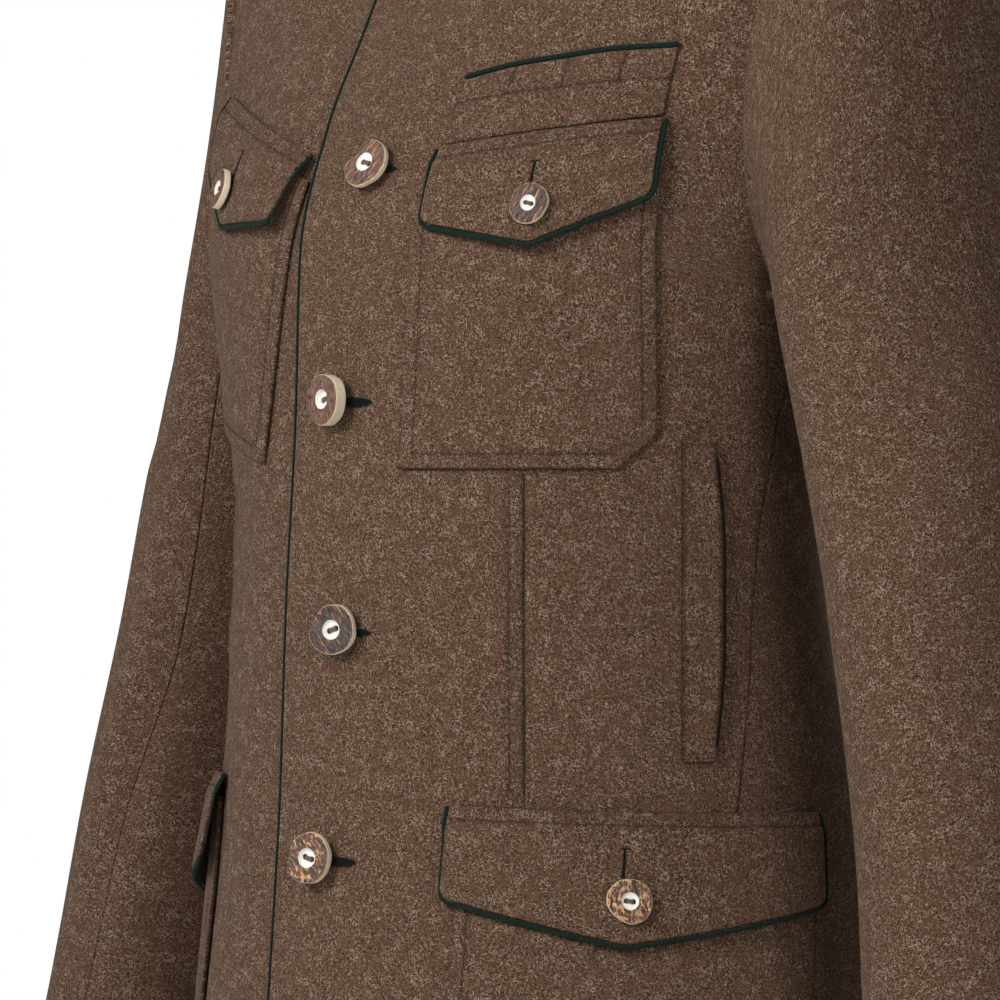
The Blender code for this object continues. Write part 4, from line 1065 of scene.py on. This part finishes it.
# how much shade is painted on its row, its short seams, its inner and its outer end, and how far the outer
# end is drawn down
WELT_ROW_DARK, WELT_SEAM_DARK, WELT_INNER_DARK, WELT_OUTER_DARK = 0.55, 0.65, 0.9, 0.15
WELT_DRAWN, WELT_DRAWN_SOFT, SEAM_SHORT = 0.9 * REST, 0.002, 0.001
start, length = BREAST_WELT[0, 0], np.ptp(BREAST_WELT[:, 0])
distance = start + length * spread(length, WELT_STEP, [np.mean(seam) - start for seam in WELT_SEAMS])
(top_z, low_z), row_z = read(BREAST_WELT, distance), read(WELT_ROW, distance)[0]
up_welt = np.linspace(0, 1, 34)[:, None]
z = low_z + (top_z - low_z) * up_welt
from_outer = distance[-1] - distance
relief = groove(z - row_z, ROW_DEPTH, WELT_SOFT) + groove(from_outer, WELT_DRAWN, WELT_DRAWN_SOFT)
# painted shade along its row of stitches and at its inner and outer ends
painted_shade = shade(z - row_z, WELT_ROW_DARK) + shade(distance - start, WELT_INNER_DARK)
painted_shade = painted_shade + shade(from_outer, WELT_OUTER_DARK)
upper = np.clip((z - row_z + SEAM_SHORT) / (2 * SEAM_SHORT), 0, 1)
height, rows = REST + WELT_CLOTH - ROW_DEPTH, []
for ends in WELT_SEAMS:
    beside_seam = distance - ends[0] - (ends[1] - ends[0]) * up_welt
    relief = relief + upper * groove(beside_seam, ROW_DEPTH, WELT_SOFT)
    painted_shade = painted_shade + upper * shade(beside_seam, WELT_SEAM_DARK)
    low_end, high_end = np.interp(ends[0], distance, row_z), np.interp(ends[1], distance, top_z) - SEAM_SHORT
    rows.append(body_row(np.linspace(*ends, 30), np.linspace(low_end, high_end, 30), height))
rows.append(body_row(distance[3:-3], row_z[3:-3], height))
sewing = stitching("breast_welt_sewing_left", thread, *rows)
face = on_body(distance, z, REST + WELT_CLOTH + relief)
cloth_piece(
    "breast_welt_left", face, 1, thick=WELT_CLOTH, painted_shade=painted_shade,
)

# Hand welts: upright strips of loden at the sides, stitched down along the inner edge and across both ends.
# The outer edge is open, so it stands off a little, and the slit's shadow is painted black along it.
# height, distance of the inner and of the outer edge
HAND_WELT = np.array([
    (-0.4955, 0.1880, 0.2045), (-0.4560, 0.1862, 0.2058),
    (-0.4020, 0.1846, 0.2045), (-0.3490, 0.1830, 0.1995),
])
HAND_WIDTH, HAND_ACROSS, HAND_UP, HAND_CLOSE = 0.019, 0.0016, 0.0028, (0.0003, 0.0006, 0.0012)
# its rows of stitches: along its inner edge, and across it at both ends
HAND_ROW, HAND_END_ROW, HAND_ROW_SHORT = 0.0014, 0.0016, 0.001
# how far its open edge stands off and over what width and height, and how much shade is painted on its inner
# edge and as the slit's shadow
HAND_OPEN, HAND_OPEN_SOFT, HAND_OPEN_UP = 0.0024, 0.004, 0.040
HAND_DARK, HAND_SLIT, HAND_SLIT_SOFT, HAND_SLIT_UP = 0.85, 0.0011, 0.0009, 0.008
start, length = HAND_WELT[0, 0], np.ptp(HAND_WELT[:, 0])
lines = (HAND_END_ROW, length - HAND_END_ROW)
z = start + length * spread(length, HAND_UP, lines)[:, None]
inner_edge, outer_edge = read(HAND_WELT, z)
across = spread(HAND_WIDTH, HAND_ACROSS, (HAND_ROW,), HAND_CLOSE)
distance = inner_edge + (outer_edge - inner_edge) * across
from_end = np.minimum(z - start, HAND_WELT[-1, 0] - z)
from_inner, from_outer = distance - inner_edge, outer_edge - distance
open_edge = HAND_OPEN * np.exp(-from_outer / HAND_OPEN_SOFT) * np.clip(from_end / HAND_OPEN_UP, 0, 1) ** 0.7
relief = open_edge + groove(from_inner - HAND_ROW, ROW_DEPTH, WELT_SOFT)
# painted shadow of the slit: its open edge is black for the width of the slit, and fades inwards
from_slit, slit_dark = np.maximum(from_outer - HAND_SLIT, 0), np.clip(from_end / HAND_SLIT_UP, 0.4, 1)
painted_shade = shade(from_inner, HAND_DARK) + shade(from_slit, slit_dark, HAND_SLIT_SOFT)
height = REST + WELT_CLOTH
for side_name, side in SIDES.items():
    rows = [body_row(inner_edge[2:-2, 0] + HAND_ROW, z[2:-2, 0], height - ROW_DEPTH, side)]
    for end, inside in ((0, HAND_END_ROW), (-1, -HAND_END_ROW)):
        row = np.linspace(inner_edge[end, 0] + HAND_ROW, outer_edge[end, 0] - HAND_ROW_SHORT, 20)
        rows.append(body_row(row, z[end, 0] + inside, height, side))
    sewing = stitching("hand_welt_sewing_" + side_name, thread, *rows)
    face, resting = on_body(distance, z, height + relief, side), [f"front_{side_name}_cloth"]
    name = "hand_welt_" + side_name
    cloth_piece(name, face, side, thick=WELT_CLOTH, painted_shade=painted_shade)

# Green cords: a thick felted cord runs round each flap and along the breast welt, a thin one edges the left
# front. They are sewn on by hand, edge to edge with the cloth.
# radius, where it starts below the flap's seam, points round and along it
PIPE, PIPE_START, PIPE_SIDES, PIPE_STEP = 0.0011, 0.001, 14, 0.0005
# its strands, how far one runs in a turn, how much they swell and how unevenly, at three sizes
PIPE_STRANDS, PIPE_PITCH, PIPE_LOBE = 3, 0.0075, 0.055
PIPE_UNEVEN, PIPE_WAVES = 0.065, (0.00045, 0.00083, 0.0017)
EDGE_PIPE, EDGE_PIPE_TOP, EDGE_PIPE_LOW, EDGE_PIPE_LOBE = 0.0008, -0.0815, HEM_FRONT + 0.001, 0.02
# how thick the cords are, as a share of the pieces they ride with; a flap's is drawn in tighter along its
# inner side, from a place below the seam
FLAP_GIRTH, WELT_GIRTH = {"breast": 1.20, "lower": 1.06}, 1.28
PIPE_TIGHT, PIPE_TIGHT_FROM = 0.60, 0.008
# the felt: turn and size of its fibres, levels of noise between which they lighten, and its bumps
FELT_TURN, FELT_FIBRES, FELT_LEVELS, FELT_BUMP = 0.6, (0.0012, 0.00035, 0.01), (0.32, 0.74), (0.6, 0.0003)
FELT = {
    "Roughness": 0.95, "Specular IOR Level": 0.10, "Sheen Weight": 0.10, "Sheen Tint": (0.45, 0.70, 0.60, 1),
}
BOTTLE_GREEN = (0.0014, 0.0045, 0.0036, 1), (0.0190, 0.0440, 0.0350, 1)


def green_felt(nodes, dark, light):
    """Felted wool: short fibres, lighter than their ground, as a noise drawn out along the cord."""
    place = nodes.drawn(nodes.mark("fleece"), FELT_FIBRES, Rotation=(0, 0, FELT_TURN))
    fibres = nodes.noise(place, 2.0, distortion=0.6)
    colour = nodes.mix(nodes.step(fibres, *FELT_LEVELS, "LINEAR"), dark, light)
    return {"Base Color": colour, "Normal": nodes.bump(fibres, *FELT_BUMP)}


def wound_cord(node, path, above, radius, lobe, girth=1.0):
    """A cord along a path, a circle carried along it and closed at both ends; above is the same path, higher.

    Its radius swells by lobe where a strand winds by, and unevenly a little more. Girth says how thick it is
    at each point of the path, as a share.
    """
    far = run_along(path)
    places = np.linspace(0, far[-1], int(far[-1] / PIPE_STEP) + 2)
    girth = np.interp(places, far, girth + 0 * far)
    path, up = read_line(path, far, places), read_line(above - path, far, places)
    forward = unit(np.gradient(path, axis=0))
    across = unit(np.cross(forward, up))
    angle, along = full_turn(PIPE_SIDES), places[:, None]
    swell = 1 - lobe + lobe * np.cos(PIPE_STRANDS * (angle - 2 * np.pi * along / PIPE_PITCH))
    swell = swell - PIPE_UNEVEN * sum(np.sin(along / size + 2 * angle + size) ** 2 for size in PIPE_WAVES)
    close = np.sqrt(np.clip(np.minimum(places, places[-1] - places) / radius, 0.02, 1))
    ring = around(across[:, None], np.cross(across, forward)[:, None], angle)
    points = path[:, None] + radius * (swell * (girth * close)[:, None])[..., None] * ring
    fleece = joined(along, radius * angle, PATTERN_STEP * len(bpy.data.objects))
    faces = tube_faces(len(path), PIPE_SIDES)
    mesh_piece(node + "_cord", points, faces, felt, node, [("fleece", fleece)])


felt = material_of("bottle green felt", green_felt, *BOTTLE_GREEN, **FELT)
for pocket in POCKETS:
    kind, side_name = pocket.split("_")
    width, across = FLAPS[kind][0], flap_columns[kind]
    side_drop = np.linspace(PIPE_START, flap_depth(kind, 0.0), 12)[:-1]
    # the edge runs down the inner side, along the bottom and up the outer side, with y going up
    edge_x = width * np.concatenate([0 * side_drop, across, 0 * side_drop + 1])
    edge_y = -np.concatenate([side_drop, flap_depth(kind, across), side_drop[::-1]])
    line = beside(finely(joined(edge_x, edge_y), 0.0006), -PIPE - SEAM)
    # points that crowd together round a corner are left out
    line = line[np.linalg.norm(np.gradient(line, axis=0), axis=1) > 0.0001]
    x, drop = line[:, 0], -line[:, 1]
    middle, mirror = FLAP_REST + CLOTH / 2, (SIDES[side_name], 1, 1)
    path, above = (on_flap(pocket, x / width, drop, middle + rise) * mirror for rise in (0, PIPE))
    inner, low = np.clip(-x / PIPE, 0, 1), np.clip((drop - PIPE_TIGHT_FROM) / PIPE_TIGHT_FROM, 0, 1)
    girth = FLAP_GIRTH[kind] * (1 - PIPE_TIGHT * inner * low)
    wound_cord(f"{kind}_flap_piping_{side_name}", path, above, PIPE, PIPE_LOBE, girth)

distance = np.linspace(BREAST_WELT[0, 0], BREAST_WELT[-1, 0], 60)
z = read(BREAST_WELT, distance)[0] + PIPE + SEAM
path, above = (on_body(distance, z, REST + PIPE + rise) for rise in (0, PIPE))
wound_cord("breast_welt_piping_left", path, above, PIPE, PIPE_LOBE, WELT_GIRTH)
z = np.linspace(EDGE_PIPE_LOW, EDGE_PIPE_TOP, 400)
path, above = (on_body(-FRONT_EDGE - SEAM - EDGE_PIPE, z, rise - CLOTH / 4) for rise in (0, EDGE_PIPE))
wound_cord("front_edge_piping", path, above, EDGE_PIPE, EDGE_PIPE_LOBE)

# Buttonholes of the front: five, bound with dark green felt and lying on the left front beside its edge.
# Each is a flat ring drawn out, whose upper face rises in two narrow lips that meet in a slit.
# height and distance of each front button, far end of its buttonhole, how far it tips to the wearer's left
FRONT_BUTTONS = (
    (-0.1150, 0.0150, 0.0330, 4), (-0.2220, 0.0213, 0.0364, 6), (-0.3298, 0.0107, 0.0320, -6),
    (-0.4362, 0.0198, 0.0372, 12), (-0.5418, 0.0103, 0.0337, 15),
)
BINDING_START, BINDING_DROP, BINDING_REST = 0.004, 0.001, REST + 0.0001
BINDING_HIGH, BINDING_LIP = 0.0023, 0.0008
BINDING_RINGS, BINDING_SIDES, BINDING_UNEVEN, BINDING_WAVES = 40, 28, 0.05, (41, 67)
# the slit between the lips: how much of their height it takes, and its width as a share of theirs
LIP_SLIT, LIP_SLIT_WIDTH, BINDING_BACK = 0.85, 0.16, 0.94
BLACKISH_GREEN = (0.0012, 0.0026, 0.0020, 1), (0.0090, 0.0170, 0.0130, 1)
dark_felt = material_of("blackish green felt", green_felt, *BLACKISH_GREEN, **FELT)
share = (1 - np.cos(np.linspace(0.03, np.pi - 0.03, BINDING_RINGS)))[:, None] / 2
outwards, up = np.sin(full_turn(BINDING_SIDES)), np.cos(full_turn(BINDING_SIDES))
# the back half of each ring lies on the cloth; the front half rises in two lips with the slit between
lips = np.sqrt(np.maximum(outwards, 0)) * (1 - LIP_SLIT * np.exp(-((up / LIP_SLIT_WIDTH) ** 2)))
for number, (height, _, far_end, _) in enumerate(FRONT_BUTTONS, 1):
    waves = (np.sin(wave * share + place * number) for place, wave in enumerate(BINDING_WAVES, 1))
    half = BINDING_HIGH * (0.02 + np.sin(np.pi * share) ** 0.45) * (1 + BINDING_UNEVEN * sum(waves))
    distance = BINDING_START + (far_end - BINDING_START) * share
    z = height - BINDING_DROP + half * up * np.where(outwards > -0.01, 1, BINDING_BACK)
    points = on_body(distance, z, BINDING_REST + BINDING_LIP * lips * np.clip(half / BINDING_HIGH, 0, 1))
    fleece = joined(distance, BINDING_HIGH * up, PATTERN_STEP * number)
    node, faces = f"buttonhole_{number}", tube_faces(BINDING_RINGS, BINDING_SIDES)
    mesh_piece(node + "_binding", points, faces, dark_felt, node, [("fleece", fleece)])

# Buttons: slices of stag horn with dark bark on their face and a pale sawn rim, dished in the middle and sewn
# on through two holes with brown thread wound into a shank. No two slices are alike.
BUTTON_RADIUS, BUTTON_THICK, BUTTON_REST, BUTTON_STAND = 0.0117, 0.0054, 0.0022, 0.0014
FLAP_BUTTONS, FLAP_BUTTON_STAND = {"breast": (0.0095, 0.0042), "lower": (0.0103, 0.0046)}, 0.0015
BUTTON_SIDES, DISH_EDGE, DISH_FLOOR, DISH_DEEP = 84, 0.385, 0.27, 0.38
HOLE_APART, HOLE_RADIUS, HOLE_DEEP, BARK_ROUGH = 0.155, 0.105, 0.34, 0.00016
# waves of the outline: how many go round, and their size; waves of the bark, one set bending the other
OUTLINE_WAVES = ((2, 0.026), (3, 0.022), (5, 0.011), (9, 0.005))
BARK_WAVES, BARK_BEND = ((9, 3), (17, 4), (29, 6)), 1.3
# the thread: where its four strands lie, their radius and reach, and the shank's radius, turns and swell
STRANDS, STRAND_RADIUS, STRAND_REACH = (-0.066, -0.022, 0.022, 0.066), 0.026, 1.12
STRAND_RINGS, STRAND_SIDES, STRAND_HIGH, STRAND_BENT = 13, 8, 0.0005, 0.0018
SHANK, SHANK_TURNS, SHANK_SWELL, SHANK_RINGS, SHANK_SIDES = 0.0022, 5, 0.10, 40, 24
BARK_GREY, BARK_BROWN = (0.085, 0.070, 0.068, 1), (0.215, 0.120, 0.085, 1)
BARK_DARK, BARK_RUST = (0.022, 0.014, 0.012, 1), (0.400, 0.185, 0.095, 1)
BARK_TAN, BARK_PALE = (0.720, 0.370, 0.180, 1), (0.880, 0.700, 0.500, 1)
RIM_CREAM, RIM_SHADE = (0.950, 0.860, 0.660, 1), (0.800, 0.680, 0.460, 1)
MARROW_WHITE, MARROW_SHADE = (0.980, 0.965, 0.920, 1), (0.830, 0.780, 0.690, 1)
# painted shade: near black, for the shade inside the button's two holes
PAINTED_HOLE_SHADE = (0.008, 0.005, 0.004, 1)


def stag_horn(nodes):
    """Antler: fine dark and brown grain, with tan lines and blotches where drawn-out noises are high.

    Beside this bark there are a cream sawn rim with saw marks and a white marrow. Which of them shows comes
    from the piece's own zone, with a ragged edge between; its tone says how brown the bark is and how many
    lines and blotches it has. Shade is painted near black in the two holes, which are only shallow dents.
    """
    place = nodes.mark("slice")
    zone, hole, _ = nodes.add("SeparateXYZ", {"Vector": nodes.mark("zone")}, slice(3))
    brown, lines, spots = nodes.add("SeparateXYZ", {"Vector": nodes.mark("tone")}, slice(3))
    mix, step = nodes.mix, nodes.step

    def noise(size, detail, distortion=0.0):
        return nodes.noise(nodes.drawn(place, size), detail, distortion=distortion, Roughness=0.6)

    def total(first, second):
        return nodes.math("ADD", first, second)

    fine = noise((0.00046, 0.0030, 0.01), 3.0, 0.5)
    streaks = noise((0.0013, 0.0110, 0.01), 2.0, 0.6)
    blotches = noise((0.0024, 0.0038, 0.013), 3.0, 1.2)
    lined, spotted = total(streaks, lines), total(blotches, spots)
    ground = mix(step(total(blotches, brown), 0.35, 0.75), BARK_GREY, BARK_BROWN)
    bark = mix(step(fine, 0.38, 0.50), BARK_DARK, ground)
    bark = mix(step(fine, 0.53, 0.68), bark, mix(0.5, ground, BARK_RUST))
    bark = mix(step(lined, 0.58, 0.66), bark, BARK_RUST)
    bark = mix(step(lined, 0.65, 0.72), bark, BARK_TAN)
    bark = mix(step(spotted, 0.58, 0.70), bark, BARK_TAN)
    bark = mix(step(spotted, 0.70, 0.84), bark, BARK_PALE)
    sawn = mix(step(noise((0.00025, 0.00025, 0.004), 2.0), 0.35, 0.68), RIM_CREAM, RIM_SHADE)
    marrow = mix(step(noise((0.0004, 0.0004, 0.01), 2.0), 0.45, 0.80), MARROW_WHITE, MARROW_SHADE)
    ragged = total(zone, noise((0.0009, 0.0009, 0.01), 2.0))
    whole = mix(step(ragged, 0.93, 1.03), sawn, mix(step(ragged, 1.00, 1.16), BARK_TAN, bark))
    whole = mix(step(total(zone, streaks), 1.93, 2.08), whole, marrow)
    # shade painted near black in the holes
    colour = mix(step(hole, 0.15, 0.60), whole, PAINTED_HOLE_SHADE)
    return {"Base Color": colour, "Normal": nodes.bump(total(fine, streaks), 0.4, 0.0003)}


horn = material_of("stag horn", stag_horn, Roughness=0.50, Specular_IOR_Level=0.25)
pale_brown = (0.085, 0.050, 0.034, 1), (0.240, 0.160, 0.110, 1)
button_thread = material_of("brown button thread", streaked_thread, *pale_brown, Roughness=0.8)


def slice_profile(thick, floor):
    """Rows of a slice's profile: share of the radius, height up from the underside, zone.

    The zone is 0 where the horn is sawn, 1 on the bark and 2 in the marrow.
    """
    shoulder = thick - 0.0003
    bark = zip(np.linspace(0.945, 0.41, 17), [thick] * 17, [0.75, 0.9] + [1.0] * 15)
    wall = ((0.36, 0.3), (0.335, 0.6), (0.305, 0.86), (0.285, 0.96))
    rows = [
        *((r, 0, 0) for r in (0.01, 0.3, 0.6, 0.88, 0.95)), (0.985, 0.00025, 0), (1, 0.0007, 0),
        *((1, h, 0) for h in np.linspace(0.0011, thick - 0.0012, 7)),
        (1, thick - 0.0007, 0.15), (0.99, shoulder, 0.45), (0.97, thick - 0.0001, 0.62), *bark,
        (0.398, thick, 1.3), (DISH_EDGE, thick - 0.00008, 1.7), (0.375, shoulder, 2),
        *((r, shoulder - (shoulder - floor) * down, 2) for r, down in wall),
        *((r, floor, 2) for r in np.linspace(DISH_FLOOR, 0.004, 16)),
    ]
    return np.array(rows).T[:, :, None]


def horn_button(node, centre, normal, radius, thick, stand_off, look):
    """A slice of horn and the thread that holds it.

    The slice is its profile carried round, with a waved outline cut straight on one side, a rough face and
    two holes in its dish. Look gives the turn of the grain, the turn of the holes, a number that picks the
    waves, where the straight side is and how far out of the middle, the share of the thickness, and how
    brown, lined and blotched it is.
    """
    grain, holes, pick, flat_at, flat, share_thick, *tone = look
    thick = thick * share_thick
    floor = thick * (1 - DISH_DEEP)
    side = unit(np.cross((0, 0, 1), normal))
    up = np.cross(normal, side)
    share, height, zone = slice_profile(thick, floor)
    angle = full_turn(BUTTON_SIDES)
    waves = sum(size * np.cos(count * angle + pick * (1.7 + count)) for count, size in OUTLINE_WAVES)
    cut = flat / np.maximum(np.cos(angle - flat_at), 0.05)
    outer = ((1 + waves) ** -16 + cut**-16) ** (-1 / 16)
    out = radius * share * (1 + (outer - 1) * np.clip((share - 0.3) / 0.7, 0, 1))
    # along the grain and over it, and along the line of the two holes and over that
    along, over = out * np.cos(angle - grain), out * np.sin(angle - grain)
    past_hole = np.abs(out * np.cos(angle - holes)) - HOLE_APART * radius
    from_hole = np.hypot(past_hole, out * np.sin(angle - holes)) / radius
    rough = sum(
        np.sin(fine * along / radius + pick * number + BARK_BEND * np.sin(slow * over / radius + pick))
        for number, (fine, slow) in enumerate(BARK_WAVES, 1)
    )
    on_face = np.clip((height - thick + 0.0003) / 0.0003, 0, 1) * np.clip(zone, 0, 1)
    rough = rough * on_face * np.clip((share - DISH_EDGE) / 0.05, 0, 1)
    depth = np.clip(1 - (from_hole - 0.75 * HOLE_RADIUS) / (0.5 * HOLE_RADIUS), 0, 1)
    depth = depth * (zone > 1.9) * (share < DISH_FLOOR + 0.01)
    tall = height + BARK_ROUGH * rough - HOLE_DEEP * thick * depth
    points = centre + out[..., None] * around(side, up, angle) + (stand_off + tall)[..., None] * normal
    sawn = zone < 0.5
    on_slice = np.where(sawn, radius * angle, along), np.where(sawn, tall, over)
    places = joined(*on_slice, 0.37 * pick + np.where(sawn, tall, 0))
    # the zone, and how deep in a hole each point lies, which the material paints as shade
    zones = joined(zone, depth, 0)
    marks = [("slice", places), ("zone", zones), ("tone", np.broadcast_to(tone, zones.shape))]
    mesh_piece(node + "_slice", points, tube_faces(len(share), BUTTON_SIDES), horn, node, marks)

    # the thread: four strands from hole to hole over the floor of the dish, and a wound shank under the slice
    reach = np.linspace(-1, 1, STRAND_RINGS)
    rise = stand_off + floor + STRAND_HIGH - STRAND_BENT * reach**6
    to_hole = STRAND_REACH * HOLE_APART * radius * reach
    line = centre + to_hole[:, None] * around(side, up, holes) + rise[:, None] * normal
    forward = unit(np.gradient(line, axis=0))
    across = unit(np.cross(forward, normal))
    ring = around(across[:, None], np.cross(across, forward)[:, None], full_turn(STRAND_SIDES))
    strand = line[:, None] + STRAND_RADIUS * radius * ring
    tubes = [strand + aside * radius * around(up, -side, holes) for aside in STRANDS]
    points_each = STRAND_RINGS * STRAND_SIDES
    faces = [tube_faces(STRAND_RINGS, STRAND_SIDES) + points_each * number for number in range(len(STRANDS))]
    turn, shank_up = full_turn(SHANK_SIDES), np.linspace(-0.0006, 1, SHANK_RINGS)[:, None]
    wound = SHANK * (1 - SHANK_SWELL * np.cos(turn - 2 * np.pi * SHANK_TURNS * shank_up))
    shank = centre + wound[..., None] * around(side, up, turn)
    tubes.append(shank + (stand_off * shank_up)[..., None] * normal)
    faces.append(tube_faces(SHANK_RINGS, SHANK_SIDES) + points_each * len(STRANDS))
    points = np.concatenate([tube.reshape(-1, 3) for tube in tubes])
    mesh_piece(node + "_thread", points, np.concatenate(faces), button_thread)


# the looks of the buttons: turn of the grain, turn of the holes, number that picks the waves, where the
# straight side is and how far out, share of the thickness, how brown, lined and blotched
BUTTON_LOOKS = {
    "front_button_1": (-0.20, 0.10, 5.2, 2.60, 0.92, 0.90, 0.00, 0.00, -0.08),
    "front_button_2": (-0.62, -0.25, 1.35, 2.45, 0.68, 0.62, 0.10, 0.02, -0.16),
    "front_button_3": (0.12, 0.30, 2.3, 3.14, 0.92, 1.12, 0.25, -0.10, -0.16),
    "front_button_4": (0.62, 0.35, 3.1, 2.70, 0.86, 0.70, -0.22, 0.01, -0.20),
    "front_button_5": (0.70, -0.30, 4.6, 3.00, 0.82, 0.74, 0.06, -0.06, 0.06),
    "breast_button_left": (-0.40, -0.24, 6.4, 2.90, 0.88, 0.60, -0.06, 0.01, -0.12),
    "breast_button_right": (0.40, 0.30, 7.7, 0.60, 0.92, 0.85, 0.20, -0.04, -0.10),
    "lower_button_left": (0.10, -0.12, 8.9, 4.20, 0.95, 0.58, 0.06, -0.06, 0.08),
    "lower_button_right": (-0.30, 0.15, 9.3, 1.20, 0.94, 0.80, 0.05, 0.00, -0.05),
}
for number, (height, distance, _, tip) in enumerate(FRONT_BUTTONS, 1):
    node, tip = f"front_button_{number}", np.radians(tip)
    normal = facing(turn_at(distance, height), height)
    tipped = around(normal, unit(np.cross((0, 0, 1), normal)), tip)
    stand_off = BUTTON_RADIUS * abs(np.sin(tip)) + BUTTON_STAND
    centre = on_body(distance, height, BUTTON_REST)
    horn_button(node, centre, tipped, BUTTON_RADIUS, BUTTON_THICK, stand_off, BUTTON_LOOKS[node])

for pocket in POCKETS:
    kind, side_name = pocket.split("_")
    mirror, (*_, point_at, button_drop) = (SIDES[side_name], 1, 1), FLAPS[kind]
    top = FLAP_REST + CLOTH + SEAM + FLAP_FULL
    # the button faces as the flap does, which two places beside its middle tell
    places = ((point_at, button_drop), (point_at + 0.02, button_drop), (point_at, button_drop + 0.002))
    centre, aside, below = (on_flap(pocket, across, drop, top) * mirror for across, drop in places)
    normal = unit(np.cross(aside - centre, centre - below)) * mirror[0]
    node = f"{kind}_button_{side_name}"
    horn_button(node, centre, normal, *FLAP_BUTTONS[kind], FLAP_BUTTON_STAND, BUTTON_LOOKS[node])
